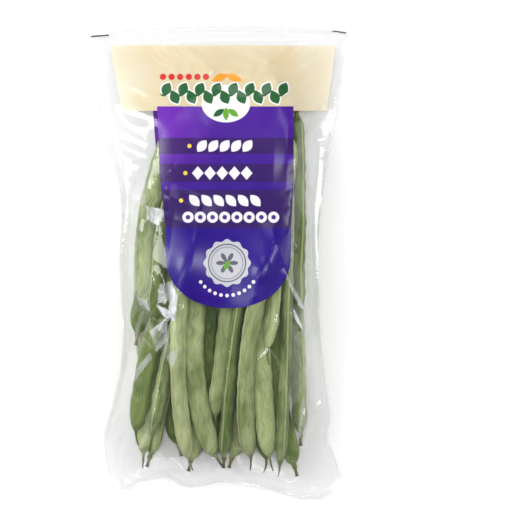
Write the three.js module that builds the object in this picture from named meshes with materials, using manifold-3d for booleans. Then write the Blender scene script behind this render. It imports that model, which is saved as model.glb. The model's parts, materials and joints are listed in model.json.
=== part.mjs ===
// A retail bundle of green beans: loose pods lying along a clear film bag that is heat-sealed round its
// edge. The bundle lies on its back. Millimetres, +Z up, with the origin on the surface that it lies on,
// under the middle of the bag. +Y runs to the bag's head, and +X is to the right as a shopper reads the front.
import * as THREE from "three";
import { mergeVertices } from "three/addons/utils/BufferGeometryUtils.js";
import Module from "manifold-3d";

const { clamp, degToRad, lerp, smoothstep } = THREE.MathUtils;
const wasm = await Module();
wasm.setup();
const { Manifold, Mesh } = wasm;

// Pods
const POD_HALF_WIDTH = 6.9; // seam to seam, halved
const POD_HALF_THICKNESS = 4.7; // through the flat faces, halved
const STALK_LENGTH = 8; // the stub of stalk left on at picking
const STALK_RADIUS = 1.3;
const COLLAR_RADIUS = 2.1; // the dried cap where the stalk meets the pod
const BEAK_LENGTH = 11; // the thin curved tail at the blossom end
const BEAK_RADIUS = 1;
const BEAK_TIP_RADIUS = 0.55;
const SHOULDER_LENGTH = 18; // stalk end, from the collar to full width
const TAPER_LENGTH = 38; // blossom end, from full width to the beak
// A pod's cross-section, as shares of its half width and half thickness: a lens with a ridge on each seam.
const SECTION = [[1, 0], [0.72, 0.8], [0, 1], [-0.72, 0.8], [-1, 0], [-0.72, -0.8], [0, -1], [0.72, -0.8]];

// Pods that show through the film, from the left. Foot and head are the ends nearer the bag's foot and head,
// on plan. Bow is the turn from end to end in degrees, to the right when positive, roll turns the pod from
// its flat face towards its seam, and level is the layer that the pod starts in, counted from the surface.
const SHOWN_PODS = [
  { foot: [-62, -134], head: [-10, 33], bow: 24, roll: 15, level: 4 },
  { foot: [-56, -151], head: [-14, 18], bow: 18, roll: 80, level: 4, stalkDown: true },
  { foot: [-49, -137], head: [-4, 27], bow: 16, roll: 20, level: 3.6 },
  { foot: [-45, -155], head: [-29, 19], bow: 10, roll: 0, level: 2.4 },
  { foot: [-17, -157], head: [-14, 18], bow: 40, roll: 0, level: 4.6 },
  { foot: [4, -158], head: [-6, 16], bow: 46, roll: 0, level: 4.8 },
  { foot: [-3, -123], head: [20, 46], bow: -6, roll: 10, level: 3.4 },
  { foot: [4, -158], head: [-3, 18], bow: 20, roll: 15, level: 2.4 },
  { foot: [26, -160], head: [44, 14], bow: 46, roll: 5, level: 4.8 },
  { foot: [34, -158], head: [24, 18], bow: 14, roll: 10, level: 3 },
  { foot: [43, -153], head: [26, 22], bow: 8, roll: 10, level: 3.6 },
  { foot: [45, -160], head: [49, 14], bow: -12, roll: 85, level: 4.8 },
  { foot: [64, -160], head: [44, 14], bow: 24, roll: 20, level: 2.6, stalkDown: true },
  { foot: [64, -134], head: [58, 40], bow: -6, roll: 75, level: 3.6, stalkDown: true },
  { foot: [9, -55], head: [19, 121], bow: 6, roll: 15, level: 5.2 },
  { foot: [37, -73], head: [54, 101], bow: -8, roll: 15, level: 5 },
  { foot: [-50, -45], head: [-22, 122], bow: 42, roll: 10, level: 4.2 },
  { foot: [-46, -52], head: [-15, 116], bow: 32, roll: 60, level: 4.6 },
  { foot: [60, -49], head: [57, 121], bow: -12, roll: 60, level: 4.2 },
  { foot: [51, -27], head: [36, 148], bow: -10, roll: 20, level: 4 },
];
// Pods under those, in rows of alternate ends.
const FILL_ROWS = [
  { level: 0, count: 7, lowest: -42, highest: 44 },
  { level: 1, count: 7, lowest: -48, highest: 50 },
  { level: 2, count: 6, lowest: -46, highest: 48 },
];
const FILL_LENGTH = [156, 178];
const FILL_MIDDLES = [50, -34]; // how far a row's pods sit above or below the bag's middle, in turn

// How the pods settle
const SEED = 44;
const STATIONS = 48; // along each pod, each with two balls side by side
const LAY_HEIGHT = 7; // height at which the first pods are laid
const LAY_STEP = 1.5; // how far a pod is raised at a time, until it clears the pods laid before it
const LAID_APART = 13; // between the middle lines of pods laid across each other
const SKIN = 0.55; // kept clear round each pod
const STEPS = 1200;
const CALM_STEPS = 550; // the last of the steps, with no weight on
const PASSES = 3; // how often the pods are pushed apart in each step
const BENDS = 8; // waves along a pod that its bending is made of, from the longest
const FALL = 0.25; // how far a pod drops in a step
const THIN = 1.9; // least radius of a ball, so that those of a stalk or beak leave no gaps
const STIFFNESS = 0.22; // how much of its own shape a pod regains in a step
const HOLD = 0.2; // how much of its place on plan a pod that shows regains in a step
const CELL = 10; // the balls are sorted into cells of this size
const ROOM = { x: 240, y: 400, z: 200 }; // the space that the cells fill, centred on plan

// The pile of pods, as the film holds it
const PILE_LEFT = -65;
const PILE_RIGHT = 67;
const PILE_HEAD = 152;
const PILE_NARROW = 17; // how much narrower the left side is near the head
const PILE_BELLY = 18; // height of the widest part
const PILE_TUCK = 10; // how much narrower each side is at the surface
const PILE_ROUND = 20; // how much narrower each side is near the top
const PILE_TOP = 46;
const FOOT_ROOM = 10; // from the bag's foot edge to the pods
const FOOT_HEIGHT = 9; // how high the pods may lie there
const FOOT_SLOPE = 80; // how far from there the film leaves them their full height
const FULL_HEIGHT = 76;

// Film
const WALL = 0.6;
const CLEARANCE = 0.35; // from the film to the pods
const SEAL_SHARE = 0.031; // of the bag's width, for the welded edge
const SEAL_SHARE_ALONG = 0.0145; // of the bag's length
const CELLS_ACROSS = 15;
const CELLS_ALONG = 27;
const COLUMNS = CELLS_ACROSS + 1;
const ROWS = CELLS_ALONG + 1;
const RELAX_STEPS = 260;
const FILM_WEIGHT = 0.02; // how far the slack front film drops in a step
const FILM_LOW = 8; // height below which it drops no further
const FLAT = { x: 13, y: 30 }; // half the size of the flat patch that the bundle lies on
const HULL_RISE = 2.2; // how far the underside rises from that patch to the pile's edges
const VENT_RADIUS = 3;
const VENT_REACH = 6; // how far up a vent is cut, past the back film and short of the front
const VENT_SIDES = 12;
const VENTS = [[-20, -60], [20, -60], [-20, 60], [20, 60]]; // small holes through the back film
// The sealed edge, as four runs of points, each with its height. The film is pulled in beside the pods and
// lies slack past their feet.
const LEFT_EDGE = [
  [-74, -175, 4.3], [-82, -156, 4.8], [-85, -129, 6.4], [-78, -103, 10.7],
  [-72, -73, 13.9], [-71, -43, 16.1], [-73, 0, 16.1], [-72, 48, 15],
  [-81, 85, 11.8], [-88, 115, 8.6], [-93, 147, 5.4], [-98, 172, 4.3],
];
const RIGHT_EDGE = [
  [87, -171, 4.4], [92, -160, 4.8], [89, -148, 5.4], [82, -130, 8.6],
  [84, -111, 10.7], [80, -84, 12.9], [77, -56, 15], [75, 11, 16.1],
  [77, 43, 15], [84, 90, 11.8], [91, 129, 8.6], [98, 175, 4.3],
];
const FOOT_EDGE = [
  [-74, -175, 4.3], [-62, -167, 4.8], [-49, -162, 5.4], [-36, -161, 5.4],
  [-26, -167, 4.8], [-13, -167, 4.8], [3, -164, 5.4], [24, -166, 5.4],
  [41, -170, 4.8], [63, -176, 4.4], [79, -176, 4.3], [87, -171, 4.4],
];
const HEAD_EDGE = [[-98, 172, 4.3], [-48, 177, 5.4], [0, 179, 4.7], [48, 178, 5.4], [98, 175, 4.3]];

// How far the underside is off the surface at a place on plan.
function riseAt(x, y) {
  return HULL_RISE * Math.min(1, (x / 62) ** 2 + (y / 150) ** 2);
}

// The foot end of the pods' room at a place across the bag.
function footAt(x) {
  const i = clamp(FOOT_EDGE.findIndex((point) => point[0] > x), 1, FOOT_EDGE.length - 1);
  const [a, b] = [FOOT_EDGE[i - 1], FOOT_EDGE[i]];
  return lerp(a[1], b[1], clamp((x - a[0]) / (b[0] - a[0]), 0, 1)) + FOOT_ROOM;
}

// Seeded draws, so that the bundle is the same each time.
function drawsFrom(seed) {
  let state = seed;
  return (low, high) => {
    state = (state + 0x6d2b79f5) | 0;
    let t = Math.imul(state ^ (state >>> 15), 1 | state);
    t = (t + Math.imul(t ^ (t >>> 7), 61 | t)) ^ t;
    return lerp(low, high, ((t ^ (t >>> 14)) >>> 0) / 4294967296);
  };
}

// Half width and half thickness of a pod, at a distance from its stalk's cut end.
function girth(pod, distance) {
  const fromTip = pod.length - distance;
  if (distance < STALK_LENGTH - 2) return [STALK_RADIUS, STALK_RADIUS];
  if (fromTip < BEAK_LENGTH) {
    const radius = lerp(BEAK_TIP_RADIUS, BEAK_RADIUS, fromTip / BEAK_LENGTH);
    return [radius, radius];
  }
  const shoulder = clamp((distance - STALK_LENGTH) / SHOULDER_LENGTH, 0, 1);
  const taper = clamp((fromTip - BEAK_LENGTH) / TAPER_LENGTH, 0, 1);
  const roundEnd = Math.sin((shoulder * Math.PI) / 2) ** 0.7;
  const slimEnd = Math.sin((taper * Math.PI) / 2) ** 0.75;
  const fullness = Math.min(roundEnd, slimEnd);
  const least = taper < 1 ? BEAK_RADIUS : COLLAR_RADIUS;
  return [
    Math.max(least, POD_HALF_WIDTH * pod.plump * fullness),
    Math.max(least, POD_HALF_THICKNESS * pod.plump * fullness),
  ];
}

// A pod's relaxed shape, as stations with a centre and the direction of its width, in its place on plan.
function relaxedPod(pod) {
  const foot = new THREE.Vector3(...pod.foot, 0);
  const head = new THREE.Vector3(...pod.head, 0);
  const [stalkEnd, beakEnd] = pod.stalkDown ? [foot, head] : [head, foot];
  const chord = beakEnd.clone().sub(stalkEnd);
  const along = chord.clone().normalize();
  const up = new THREE.Vector3(0, 0, 1);
  const across = new THREE.Vector3().crossVectors(up, along);
  const flat = across.clone().multiplyScalar(Math.cos(pod.roll)).addScaledVector(up, Math.sin(pod.roll));
  const step = pod.length / (STATIONS - 1);
  const stations = [];
  const at = new THREE.Vector2();
  for (let i = 0; i < STATIONS; i++) {
    const share = i / (STATIONS - 1);
    const fromTip = pod.length * (1 - share);
    const hooked = pod.hook * smoothstep(BEAK_LENGTH + 6 - fromTip, 0, BEAK_LENGTH + 6);
    const heading = pod.bow * (share - 0.5) + pod.wave * Math.sin(2 * Math.PI * share) + hooked;
    stations.push({ at: at.clone(), heading, share });
    at.x += Math.cos(heading) * step;
    at.y += Math.sin(heading) * step;
  }
  const from = stations[0].at.clone();
  const turn = -stations.at(-1).at.clone().sub(from).angle();
  const middle = stalkEnd.clone().lerp(beakEnd, 0.5).setZ(LAY_HEIGHT);
  const reach = stations.at(-1).at.distanceTo(from) / 2;
  return stations.map(({ at: point, heading, share }) => {
    const flatPoint = point.clone().sub(from).rotateAround(new THREE.Vector2(), turn);
    const centre = middle.clone();
    centre.addScaledVector(along, flatPoint.x - reach).addScaledVector(flat, flatPoint.y);
    const angle = heading + turn;
    const tangent = along.clone().multiplyScalar(Math.cos(angle)).addScaledVector(flat, Math.sin(angle));
    const side = flat.clone().multiplyScalar(Math.cos(angle)).addScaledVector(along, -Math.sin(angle));
    side.applyAxisAngle(tangent, pod.twist * (share - 0.5));
    return { centre, side, distance: share * pod.length };
  });
}

function makePods() {
  const draw = drawsFrom(SEED);
  const pods = SHOWN_PODS.map((shown) => ({ ...shown, shows: true }));
  FILL_ROWS.forEach(({ level, count, lowest, highest }, row) => {
    for (let i = 0; i < count; i++) {
      const length = draw(...FILL_LENGTH);
      const x = lerp(lowest, highest, i / (count - 1));
      const y = FILL_MIDDLES[(i + row) % 2] + draw(-12, 12);
      const lean = draw(-8, 8);
      pods.push({
        foot: [x - lean, y - length / 2],
        head: [x + lean, y + length / 2],
        bow: draw(-26, 26),
        roll: draw(-25, 35),
        level,
        stalkDown: draw(0, 1) < 0.4,
      });
    }
  });
  for (const pod of pods) {
    pod.length = Math.hypot(pod.head[0] - pod.foot[0], pod.head[1] - pod.foot[1]) * 1.015;
    pod.plump = draw(0.93, 1.03);
    pod.bow = degToRad(pod.bow) * (pod.stalkDown ? -1 : 1);
    pod.roll = degToRad(pod.roll);
    pod.wave = draw(-0.05, 0.05);
    pod.twist = degToRad(draw(-35, 35));
    pod.hook = degToRad(draw(-55, 55));
  }
  return pods;
}

// The rotation that best carries a pod's relaxed shape onto its balls, found from the last step's rotation.
function bestTurn(turn, columns) {
  const basis = [new THREE.Vector3(), new THREE.Vector3(), new THREE.Vector3()];
  const matrix = new THREE.Matrix4();
  for (let pass = 0; pass < 4; pass++) {
    matrix.makeRotationFromQuaternion(turn).extractBasis(...basis);
    const axis = new THREE.Vector3();
    let scale = 1e-9;
    basis.forEach((column, i) => {
      axis.add(column.clone().cross(columns[i]));
      scale += column.dot(columns[i]);
    });
    axis.divideScalar(Math.abs(scale));
    const angle = axis.length();
    if (angle < 1e-9) return;
    turn.premultiply(new THREE.Quaternion().setFromAxisAngle(axis.divideScalar(angle), angle)).normalize();
  }
}

// Lays the relaxed pods one after another, lowest level first, each raised until it clears those laid before.
function layDown(pods) {
  const laid = [];
  const relaxed = pods.map(relaxedPod);
  const order = pods.map((_, p) => p).sort((p, q) => pods[p].level - pods[q].level);
  for (const p of order) {
    const stations = relaxed[p];
    const clashes = () =>
      stations.some((a, i) => i % 2 && laid.some((b) => a.centre.distanceToSquared(b) < LAID_APART ** 2));
    while (clashes()) stations.forEach((station) => (station.centre.z += LAY_STEP));
    stations.forEach((station, i) => i % 2 || laid.push(station.centre));
  }
  return relaxed;
}

// Drops the pods onto the surface and onto each other, inside the space that the film leaves. Each pod is a
// double row of balls that keeps near its relaxed shape. Returns the settled stations of each pod.
function settle(pods) {
  const perPod = STATIONS * 2;
  const count = pods.length * perPod;
  const place = new Float64Array(count * 3);
  const rest = new Float64Array(count * 3);
  const plan = new Float64Array(count * 3);
  const radius = new Float64Array(count);
  const spread = new Float64Array(pods.length * STATIONS);
  const turns = pods.map(() => new THREE.Quaternion());
  const relaxed = layDown(pods);
  relaxed.forEach((stations, p) => {
    const middle = new THREE.Vector3();
    stations.forEach((station) => middle.addScaledVector(station.centre, 1 / STATIONS));
    stations.forEach((station, i) => {
      const [width, thickness] = girth(pods[p], station.distance);
      spread[p * STATIONS + i] = width - thickness;
      for (const [side, k] of [[-1, 0], [1, 1]]) {
        const ball = p * perPod + i * 2 + k;
        const at = station.centre.clone().addScaledVector(station.side, side * (width - thickness));
        at.toArray(place, ball * 3);
        at.toArray(plan, ball * 3);
        at.sub(middle).toArray(rest, ball * 3);
        radius[ball] = Math.max(thickness + SKIN, THIN);
      }
    });
  });

  const columns = Math.ceil(ROOM.x / CELL);
  const rows = Math.ceil(ROOM.y / CELL);
  const decks = Math.ceil(ROOM.z / CELL);
  const cellOf = (ball) => {
    const i = clamp(Math.floor((place[ball * 3] + ROOM.x / 2) / CELL), 1, columns - 2);
    const j = clamp(Math.floor((place[ball * 3 + 1] + ROOM.y / 2) / CELL), 1, rows - 2);
    const k = clamp(Math.floor(place[ball * 3 + 2] / CELL) + 1, 1, decks - 2);
    return (k * rows + j) * columns + i;
  };
  const first = new Int32Array(columns * rows * decks + 1);
  const sorted = new Int32Array(count);
  const cells = new Int32Array(count);

  function pushApart(firmness) {
    first.fill(0);
    for (let b = 0; b < count; b++) {
      cells[b] = cellOf(b);
      first[cells[b] + 1]++;
    }
    for (let c = 0; c < first.length - 1; c++) first[c + 1] += first[c];
    const next = first.slice();
    for (let b = 0; b < count; b++) sorted[next[cells[b]]++] = b;
    let deepest = 0;
    for (let b = 0; b < count; b++) {
      const pod = Math.floor(b / perPod);
      for (let dk = -1; dk <= 1; dk++) {
        for (let dj = -1; dj <= 1; dj++) {
          const cell = cells[b] + (dk * rows + dj) * columns;
          for (let n = first[cell - 1]; n < first[cell + 2]; n++) {
            const other = sorted[n];
            if (other <= b || Math.floor(other / perPod) === pod) continue;
            const dx = place[other * 3] - place[b * 3];
            const dy = place[other * 3 + 1] - place[b * 3 + 1];
            const dz = place[other * 3 + 2] - place[b * 3 + 2];
            const apart = radius[b] + radius[other];
            const squared = dx * dx + dy * dy + dz * dz;
            if (squared >= apart * apart) continue;
            const distance = Math.sqrt(squared) || 1e-6;
            deepest = Math.max(deepest, apart - distance);
            const push = (firmness * (apart - distance)) / distance;
            place[b * 3] -= dx * push;
            place[b * 3 + 1] -= dy * push;
            place[b * 3 + 2] -= dz * push;
            place[other * 3] += dx * push;
            place[other * 3 + 1] += dy * push;
            place[other * 3 + 2] += dz * push;
          }
        }
      }
    }
    return deepest;
  }

  const waves = Array.from({ length: BENDS }, (_, k) =>
    Array.from({ length: STATIONS }, (_, i) => {
      return Math.cos((k * Math.PI * (i + 0.5)) / STATIONS) * Math.sqrt((k ? 2 : 1) / STATIONS);
    }),
  );
  const goal = new Float64Array(perPod * 3);
  const bent = new Float64Array(perPod * 3);

  // Keeps each pod to its relaxed shape, turned as its balls lie and smoothly bent. At a stiffness of 0 it
  // stays bent.
  function keepShape(stiffness) {
    pods.forEach((_, p) => {
      const start = p * perPod;
      const middle = new THREE.Vector3();
      for (let b = start; b < start + perPod; b++) {
        middle.x += place[b * 3] / perPod;
        middle.y += place[b * 3 + 1] / perPod;
        middle.z += place[b * 3 + 2] / perPod;
      }
      const moments = [new THREE.Vector3(), new THREE.Vector3(), new THREE.Vector3()];
      for (let b = start; b < start + perPod; b++) {
        moments.forEach((column, i) => {
          column.x += (place[b * 3] - middle.x) * rest[b * 3 + i];
          column.y += (place[b * 3 + 1] - middle.y) * rest[b * 3 + i];
          column.z += (place[b * 3 + 2] - middle.z) * rest[b * 3 + i];
        });
      }
      bestTurn(turns[p], moments);
      const at = new THREE.Vector3();
      for (let b = 0; b < perPod; b++) {
        at.fromArray(rest, (start + b) * 3).applyQuaternion(turns[p]).add(middle).toArray(goal, b * 3);
      }
      bent.fill(0);
      for (const wave of waves) {
        for (let lane = 0; lane < 6; lane++) {
          let share = 0;
          for (let i = 0; i < STATIONS; i++) {
            const number = i * 6 + lane;
            share += wave[i] * (place[start * 3 + number] - goal[number]);
          }
          for (let i = 0; i < STATIONS; i++) bent[i * 6 + lane] += wave[i] * share;
        }
      }
      const half = new THREE.Vector3();
      for (let i = 0; i < STATIONS; i++) {
        for (let number = i * 6; number < i * 6 + 6; number++) {
          bent[number] = goal[number] + bent[number] * (1 - stiffness);
        }
        half.fromArray(bent, i * 6 + 3).sub(at.fromArray(bent, i * 6)).setLength(spread[p * STATIONS + i]);
        at.fromArray(bent, i * 6).add(new THREE.Vector3().fromArray(bent, i * 6 + 3)).multiplyScalar(0.5);
        at.clone().sub(half).toArray(place, (start + i * 2) * 3);
        at.add(half).toArray(place, (start + i * 2 + 1) * 3);
      }
    });
  }

  function keepInside() {
    for (let b = 0; b < count; b++) {
      const r = radius[b];
      const height = place[b * 3 + 2];
      const under = PILE_TUCK * clamp(1 - height / PILE_BELLY, 0, 1) ** 2;
      const over = PILE_ROUND * clamp((height - PILE_BELLY) / (PILE_TOP - PILE_BELLY), 0, 1) ** 2;
      const narrow = PILE_NARROW * smoothstep(place[b * 3 + 1], 20, 90);
      const x = clamp(place[b * 3], PILE_LEFT + narrow + under + over + r, PILE_RIGHT - under - over - r);
      const foot = footAt(x);
      const y = clamp(place[b * 3 + 1], foot + r, PILE_HEAD - r);
      const room = Math.sin((clamp((y - foot) / FOOT_SLOPE, 0, 1) * Math.PI) / 2) ** 0.8;
      const ceiling = Math.max(lerp(FOOT_HEIGHT, FULL_HEIGHT, room) - r, r + 2);
      place[b * 3] = x;
      place[b * 3 + 1] = y;
      place[b * 3 + 2] = clamp(height, WALL + CLEARANCE + r - SKIN + riseAt(x, y), ceiling);
    }
  }

  let deepest = 0;
  for (let step = 0; step < STEPS; step++) {
    const weight = clamp((2 * (STEPS - CALM_STEPS - step)) / (STEPS - CALM_STEPS), 0, 1);
    for (let b = 0; b < count; b++) {
      place[b * 3 + 2] -= FALL * weight;
      if (pods[Math.floor(b / perPod)].shows && weight > 0) {
        place[b * 3] += (plan[b * 3] - place[b * 3]) * HOLD;
        place[b * 3 + 1] += (plan[b * 3 + 1] - place[b * 3 + 1]) * HOLD;
      }
    }
    for (let pass = 0; pass < PASSES; pass++) {
      deepest = pushApart(weight > 0 ? 0.5 : 0.9);
      keepInside();
      keepShape(pass ? 0 : weight > 0 ? STIFFNESS : STIFFNESS / 8);
    }
  }
  console.log("pods settled, balls overlap by at most " + deepest.toFixed(3) + " mm");

  return relaxed.map((stations, p) =>
    stations.map((station, i) => {
      const left = new THREE.Vector3().fromArray(place, (p * perPod + i * 2) * 3);
      const right = new THREE.Vector3().fromArray(place, (p * perPod + i * 2 + 1) * 3);
      const centre = left.clone().lerp(right, 0.5);
      const side = right.sub(left).addScaledVector(station.side.clone().applyQuaternion(turns[p]), 0.3);
      return { centre, side: side.normalize(), distance: station.distance };
    }),
  );
}

// Distances from the stalk's cut end at which a pod gets a ring of its section.
function ringDistances(length) {
  const body = Math.round((length - 78) / 17);
  const distances = [0, STALK_LENGTH - 2.5, STALK_LENGTH, STALK_LENGTH + 4, STALK_LENGTH + 11];
  for (let i = 0; i <= body; i++) distances.push(lerp(29, length - 49, i / body));
  distances.push(length - 34, length - 22, length - BEAK_LENGTH - 2, length - BEAK_LENGTH / 2, length);
  return distances;
}

// The middle of a pod at a distance from its stalk's cut end, with the directions of its width and thickness.
function frameAt(stations, distance) {
  const position = clamp(distance / stations.at(-1).distance, 0, 1) * (stations.length - 1);
  const i = Math.min(Math.floor(position), stations.length - 2);
  const [a, b] = [stations[i], stations[i + 1]];
  const [before, after] = [stations[Math.max(i - 1, 0)], stations[Math.min(i + 2, stations.length - 1)]];
  const tangent = after.centre.clone().sub(before.centre).normalize();
  const side = a.side.clone().lerp(b.side, position - i);
  const normal = tangent.clone().cross(side).normalize();
  const centre = a.centre.clone().lerp(b.centre, position - i);
  return { centre, flat: normal.clone().cross(tangent), normal };
}

function podGeometry(pod, stations) {
  const points = [];
  const faces = [];
  const distances = ringDistances(pod.length);
  for (const distance of distances) {
    const { centre, flat, normal } = frameAt(stations, distance);
    const [width, thickness] = girth(pod, distance);
    for (const [a, b] of SECTION) {
      points.push(centre.clone().addScaledVector(flat, a * width).addScaledVector(normal, b * thickness));
    }
  }
  const sides = SECTION.length;
  for (let ring = 0; ring < distances.length - 1; ring++) {
    for (let i = 0; i < sides; i++) {
      const a = ring * sides + i;
      const b = ring * sides + ((i + 1) % sides);
      faces.push(a, b, b + sides, a, b + sides, a + sides);
    }
  }
  const last = (distances.length - 1) * sides;
  for (let i = 1; i < sides - 1; i++) {
    faces.push(0, i + 1, i);
    faces.push(last, last + i, last + i + 1);
  }
  return new THREE.BufferGeometry().setFromPoints(points).setIndex(faces);
}

// Lines of the film's grid, as shares of its width or length: the edge, the seal's inside, then even cells.
function gridLines(cells, seal) {
  const lines = [0, seal, seal * 2.5];
  const even = cells - 4;
  for (let i = 1; i < even; i++) lines.push(lerp(seal * 2.5, 1 - seal * 2.5, i / even));
  return [...lines, 1 - seal * 2.5, 1 - seal, 1];
}

// Points of the film's grid, row by row from the foot, each at the height of the sealed edges round it.
function filmGrid() {
  const [left, right, foot, head] = [LEFT_EDGE, RIGHT_EDGE, FOOT_EDGE, HEAD_EDGE].map(
    (edge) => new THREE.CatmullRomCurve3(edge.map((point) => new THREE.Vector3(...point))),
  );
  const points = [];
  for (const v of gridLines(CELLS_ALONG, SEAL_SHARE_ALONG)) {
    for (const u of gridLines(CELLS_ACROSS, SEAL_SHARE)) {
      const point = foot.getPointAt(u).multiplyScalar(1 - v).addScaledVector(head.getPointAt(u), v);
      point.addScaledVector(left.getPointAt(v), 1 - u).addScaledVector(right.getPointAt(v), u);
      point.addScaledVector(foot.getPointAt(0), -(1 - u) * (1 - v));
      point.addScaledVector(foot.getPointAt(1), -u * (1 - v));
      point.addScaledVector(head.getPointAt(0), -(1 - u) * v).addScaledVector(head.getPointAt(1), -u * v);
      points.push(point);
    }
  }
  return points;
}

// The two triangles of a grid cell, counter-clockwise from above, split along alternate diagonals.
function cellTriangles(i, j) {
  const a = j * COLUMNS + i;
  const [b, c, d] = [a + 1, a + COLUMNS + 1, a + COLUMNS];
  return (i + j) % 2 ? [[a, b, c], [a, c, d]] : [[a, b, d], [b, c, d]];
}

// Cells of the grid, leaving out as many lines round the edge as the margin says.
function gridTriangles(margin) {
  const triangles = [];
  for (let j = margin; j < ROWS - 1 - margin; j++) {
    for (let i = margin; i < COLUMNS - 1 - margin; i++) triangles.push(...cellTriangles(i, j));
  }
  return triangles;
}

// For each point on the pods, the film triangle that it lies in on plan, with the point's weights in it.
function filmSupports(grid, points) {
  const triangles = gridTriangles(1).map((corners) => {
    const [a, b, c] = corners.map((k) => grid[k]);
    const lowX = Math.min(a.x, b.x, c.x);
    const highX = Math.max(a.x, b.x, c.x);
    const area = (b.x - a.x) * (c.y - a.y) - (c.x - a.x) * (b.y - a.y);
    return { corners, a, b, c, lowX, highX, area };
  });
  return points.map((point) => {
    for (const { corners, a, b, c, lowX, highX, area } of triangles) {
      if (point.x < lowX || point.x > highX) continue;
      const second = ((point.x - a.x) * (c.y - a.y) - (c.x - a.x) * (point.y - a.y)) / area;
      const third = ((b.x - a.x) * (point.y - a.y) - (point.x - a.x) * (b.y - a.y)) / area;
      const least = Math.min(second, third, 1 - second - third);
      if (least >= 0) return { corners, weights: [1 - second - third, second, third], height: point.z };
    }
    throw new Error("a pod reaches past the seal at " + point.toArray().map(Math.round));
  });
}

// Heights of the film's inside, drawn tight over the pods from seal to seal. It faces up for the front film,
// and down for the back film, which is then worked out upside down.
function drapedHeights(grid, supports, faces) {
  const height = grid.map((point) => point.z * faces);
  const column = (k) => k % COLUMNS;
  const row = (k) => Math.floor(k / COLUMNS);
  const isFree = grid.map((_, k) => {
    return column(k) > 1 && column(k) < COLUMNS - 2 && row(k) > 1 && row(k) < ROWS - 2 ? 1 : 0;
  });
  const isFlat = grid.map((point) => Math.abs(point.x) < FLAT.x && Math.abs(point.y) < FLAT.y);

  function clearPods() {
    let shortest = 0;
    for (const { corners, weights, height: point } of supports) {
      const [a, b, c] = corners;
      const film = weights[0] * height[a] + weights[1] * height[b] + weights[2] * height[c];
      const short = point * faces + CLEARANCE - film;
      if (short <= 0) continue;
      shortest = Math.max(shortest, short);
      const free = weights.map((weight, i) => weight * isFree[corners[i]]);
      const total = free[0] ** 2 + free[1] ** 2 + free[2] ** 2;
      if (total > 0.001) corners.forEach((k, i) => (height[k] += (short * free[i]) / total));
    }
    return shortest;
  }

  function keepOffSurface() {
    if (faces > 0) return;
    grid.forEach((point, k) => {
      height[k] = isFlat[k] ? -WALL : Math.min(height[k], -WALL - riseAt(point.x, point.y));
    });
  }

  for (let step = 0; step < RELAX_STEPS; step++) {
    for (let k = 0; k < height.length; k++) {
      if (!isFree[k]) continue;
      const average = (height[k - 1] + height[k + 1] + height[k - COLUMNS] + height[k + COLUMNS]) / 4;
      height[k] = average - (faces > 0 ? FILM_WEIGHT * clamp(average - FILM_LOW, 0, 1) : 0);
    }
    keepOffSurface();
    clearPods();
  }
  let shortest = 1;
  for (let step = 0; step < RELAX_STEPS && shortest > 0.01; step++) {
    keepOffSurface();
    shortest = clearPods();
  }
  console.log("film drawn tight, short of its clearance by at most " + shortest.toFixed(3) + " mm");
  return height.map((value) => value * faces);
}

// Points all over the pods, close together.
function podPoints(pods, settled) {
  const points = [];
  pods.forEach((pod, p) => {
    for (const station of settled[p]) {
      const [width, thickness] = girth(pod, station.distance);
      const { centre, flat, normal } = frameAt(settled[p], station.distance);
      for (let i = 0; i < SECTION.length; i++) {
        const [next, last] = [SECTION[(i + 1) % SECTION.length], SECTION[i]];
        for (const share of [0, 0.5]) {
          const [a, b] = [lerp(last[0], next[0], share), lerp(last[1], next[1], share)];
          points.push(centre.clone().addScaledVector(flat, a * width).addScaledVector(normal, b * thickness));
        }
      }
    }
  });
  return points;
}

// A solid between two sheets of heights on the grid.
function slab(grid, top, bottom, margin) {
  const points = [];
  for (const heights of [top, bottom]) {
    grid.forEach((point, k) => points.push(point.clone().setZ(heights[k])));
  }
  const faces = [];
  for (const [a, b, c] of gridTriangles(margin)) {
    faces.push(a, b, c, a + grid.length, c + grid.length, b + grid.length);
  }
  const [i1, j1] = [COLUMNS - 1 - margin, ROWS - 1 - margin];
  const rim = [];
  for (let i = margin; i < i1; i++) rim.push(margin * COLUMNS + i);
  for (let j = margin; j < j1; j++) rim.push(j * COLUMNS + i1);
  for (let i = i1; i > margin; i--) rim.push(j1 * COLUMNS + i);
  for (let j = j1; j > margin; j--) rim.push(j * COLUMNS + margin);
  rim.forEach((a, n) => {
    const b = rim[(n + 1) % rim.length];
    faces.push(a + grid.length, b + grid.length, b, a + grid.length, b, a);
  });
  return solidFrom(new THREE.BufferGeometry().setFromPoints(points).setIndex(faces));
}

function solidFrom(geometry) {
  const loose = geometry.toNonIndexed();
  const plain = new THREE.BufferGeometry().setAttribute("position", loose.getAttribute("position"));
  const merged = mergeVertices(plain, 1e-4);
  const index = merged.index.array;
  const faces = [];
  for (let i = 0; i < index.length; i += 3) {
    const [a, b, c] = index.subarray(i, i + 3);
    if (a !== b && b !== c && c !== a) faces.push(a, b, c);
  }
  const vertProperties = new Float32Array(merged.getAttribute("position").array);
  return new Manifold(new Mesh({ numProp: 3, vertProperties, triVerts: new Uint32Array(faces) }));
}

function geometryFrom(solid) {
  const { vertProperties, triVerts, numProp } = solid.getMesh();
  const points = [];
  for (let i = 0; i < vertProperties.length; i += numProp) {
    points.push(new THREE.Vector3().fromArray(vertProperties, i));
  }
  return new THREE.BufferGeometry().setFromPoints(points).setIndex([...triVerts]);
}

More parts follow.
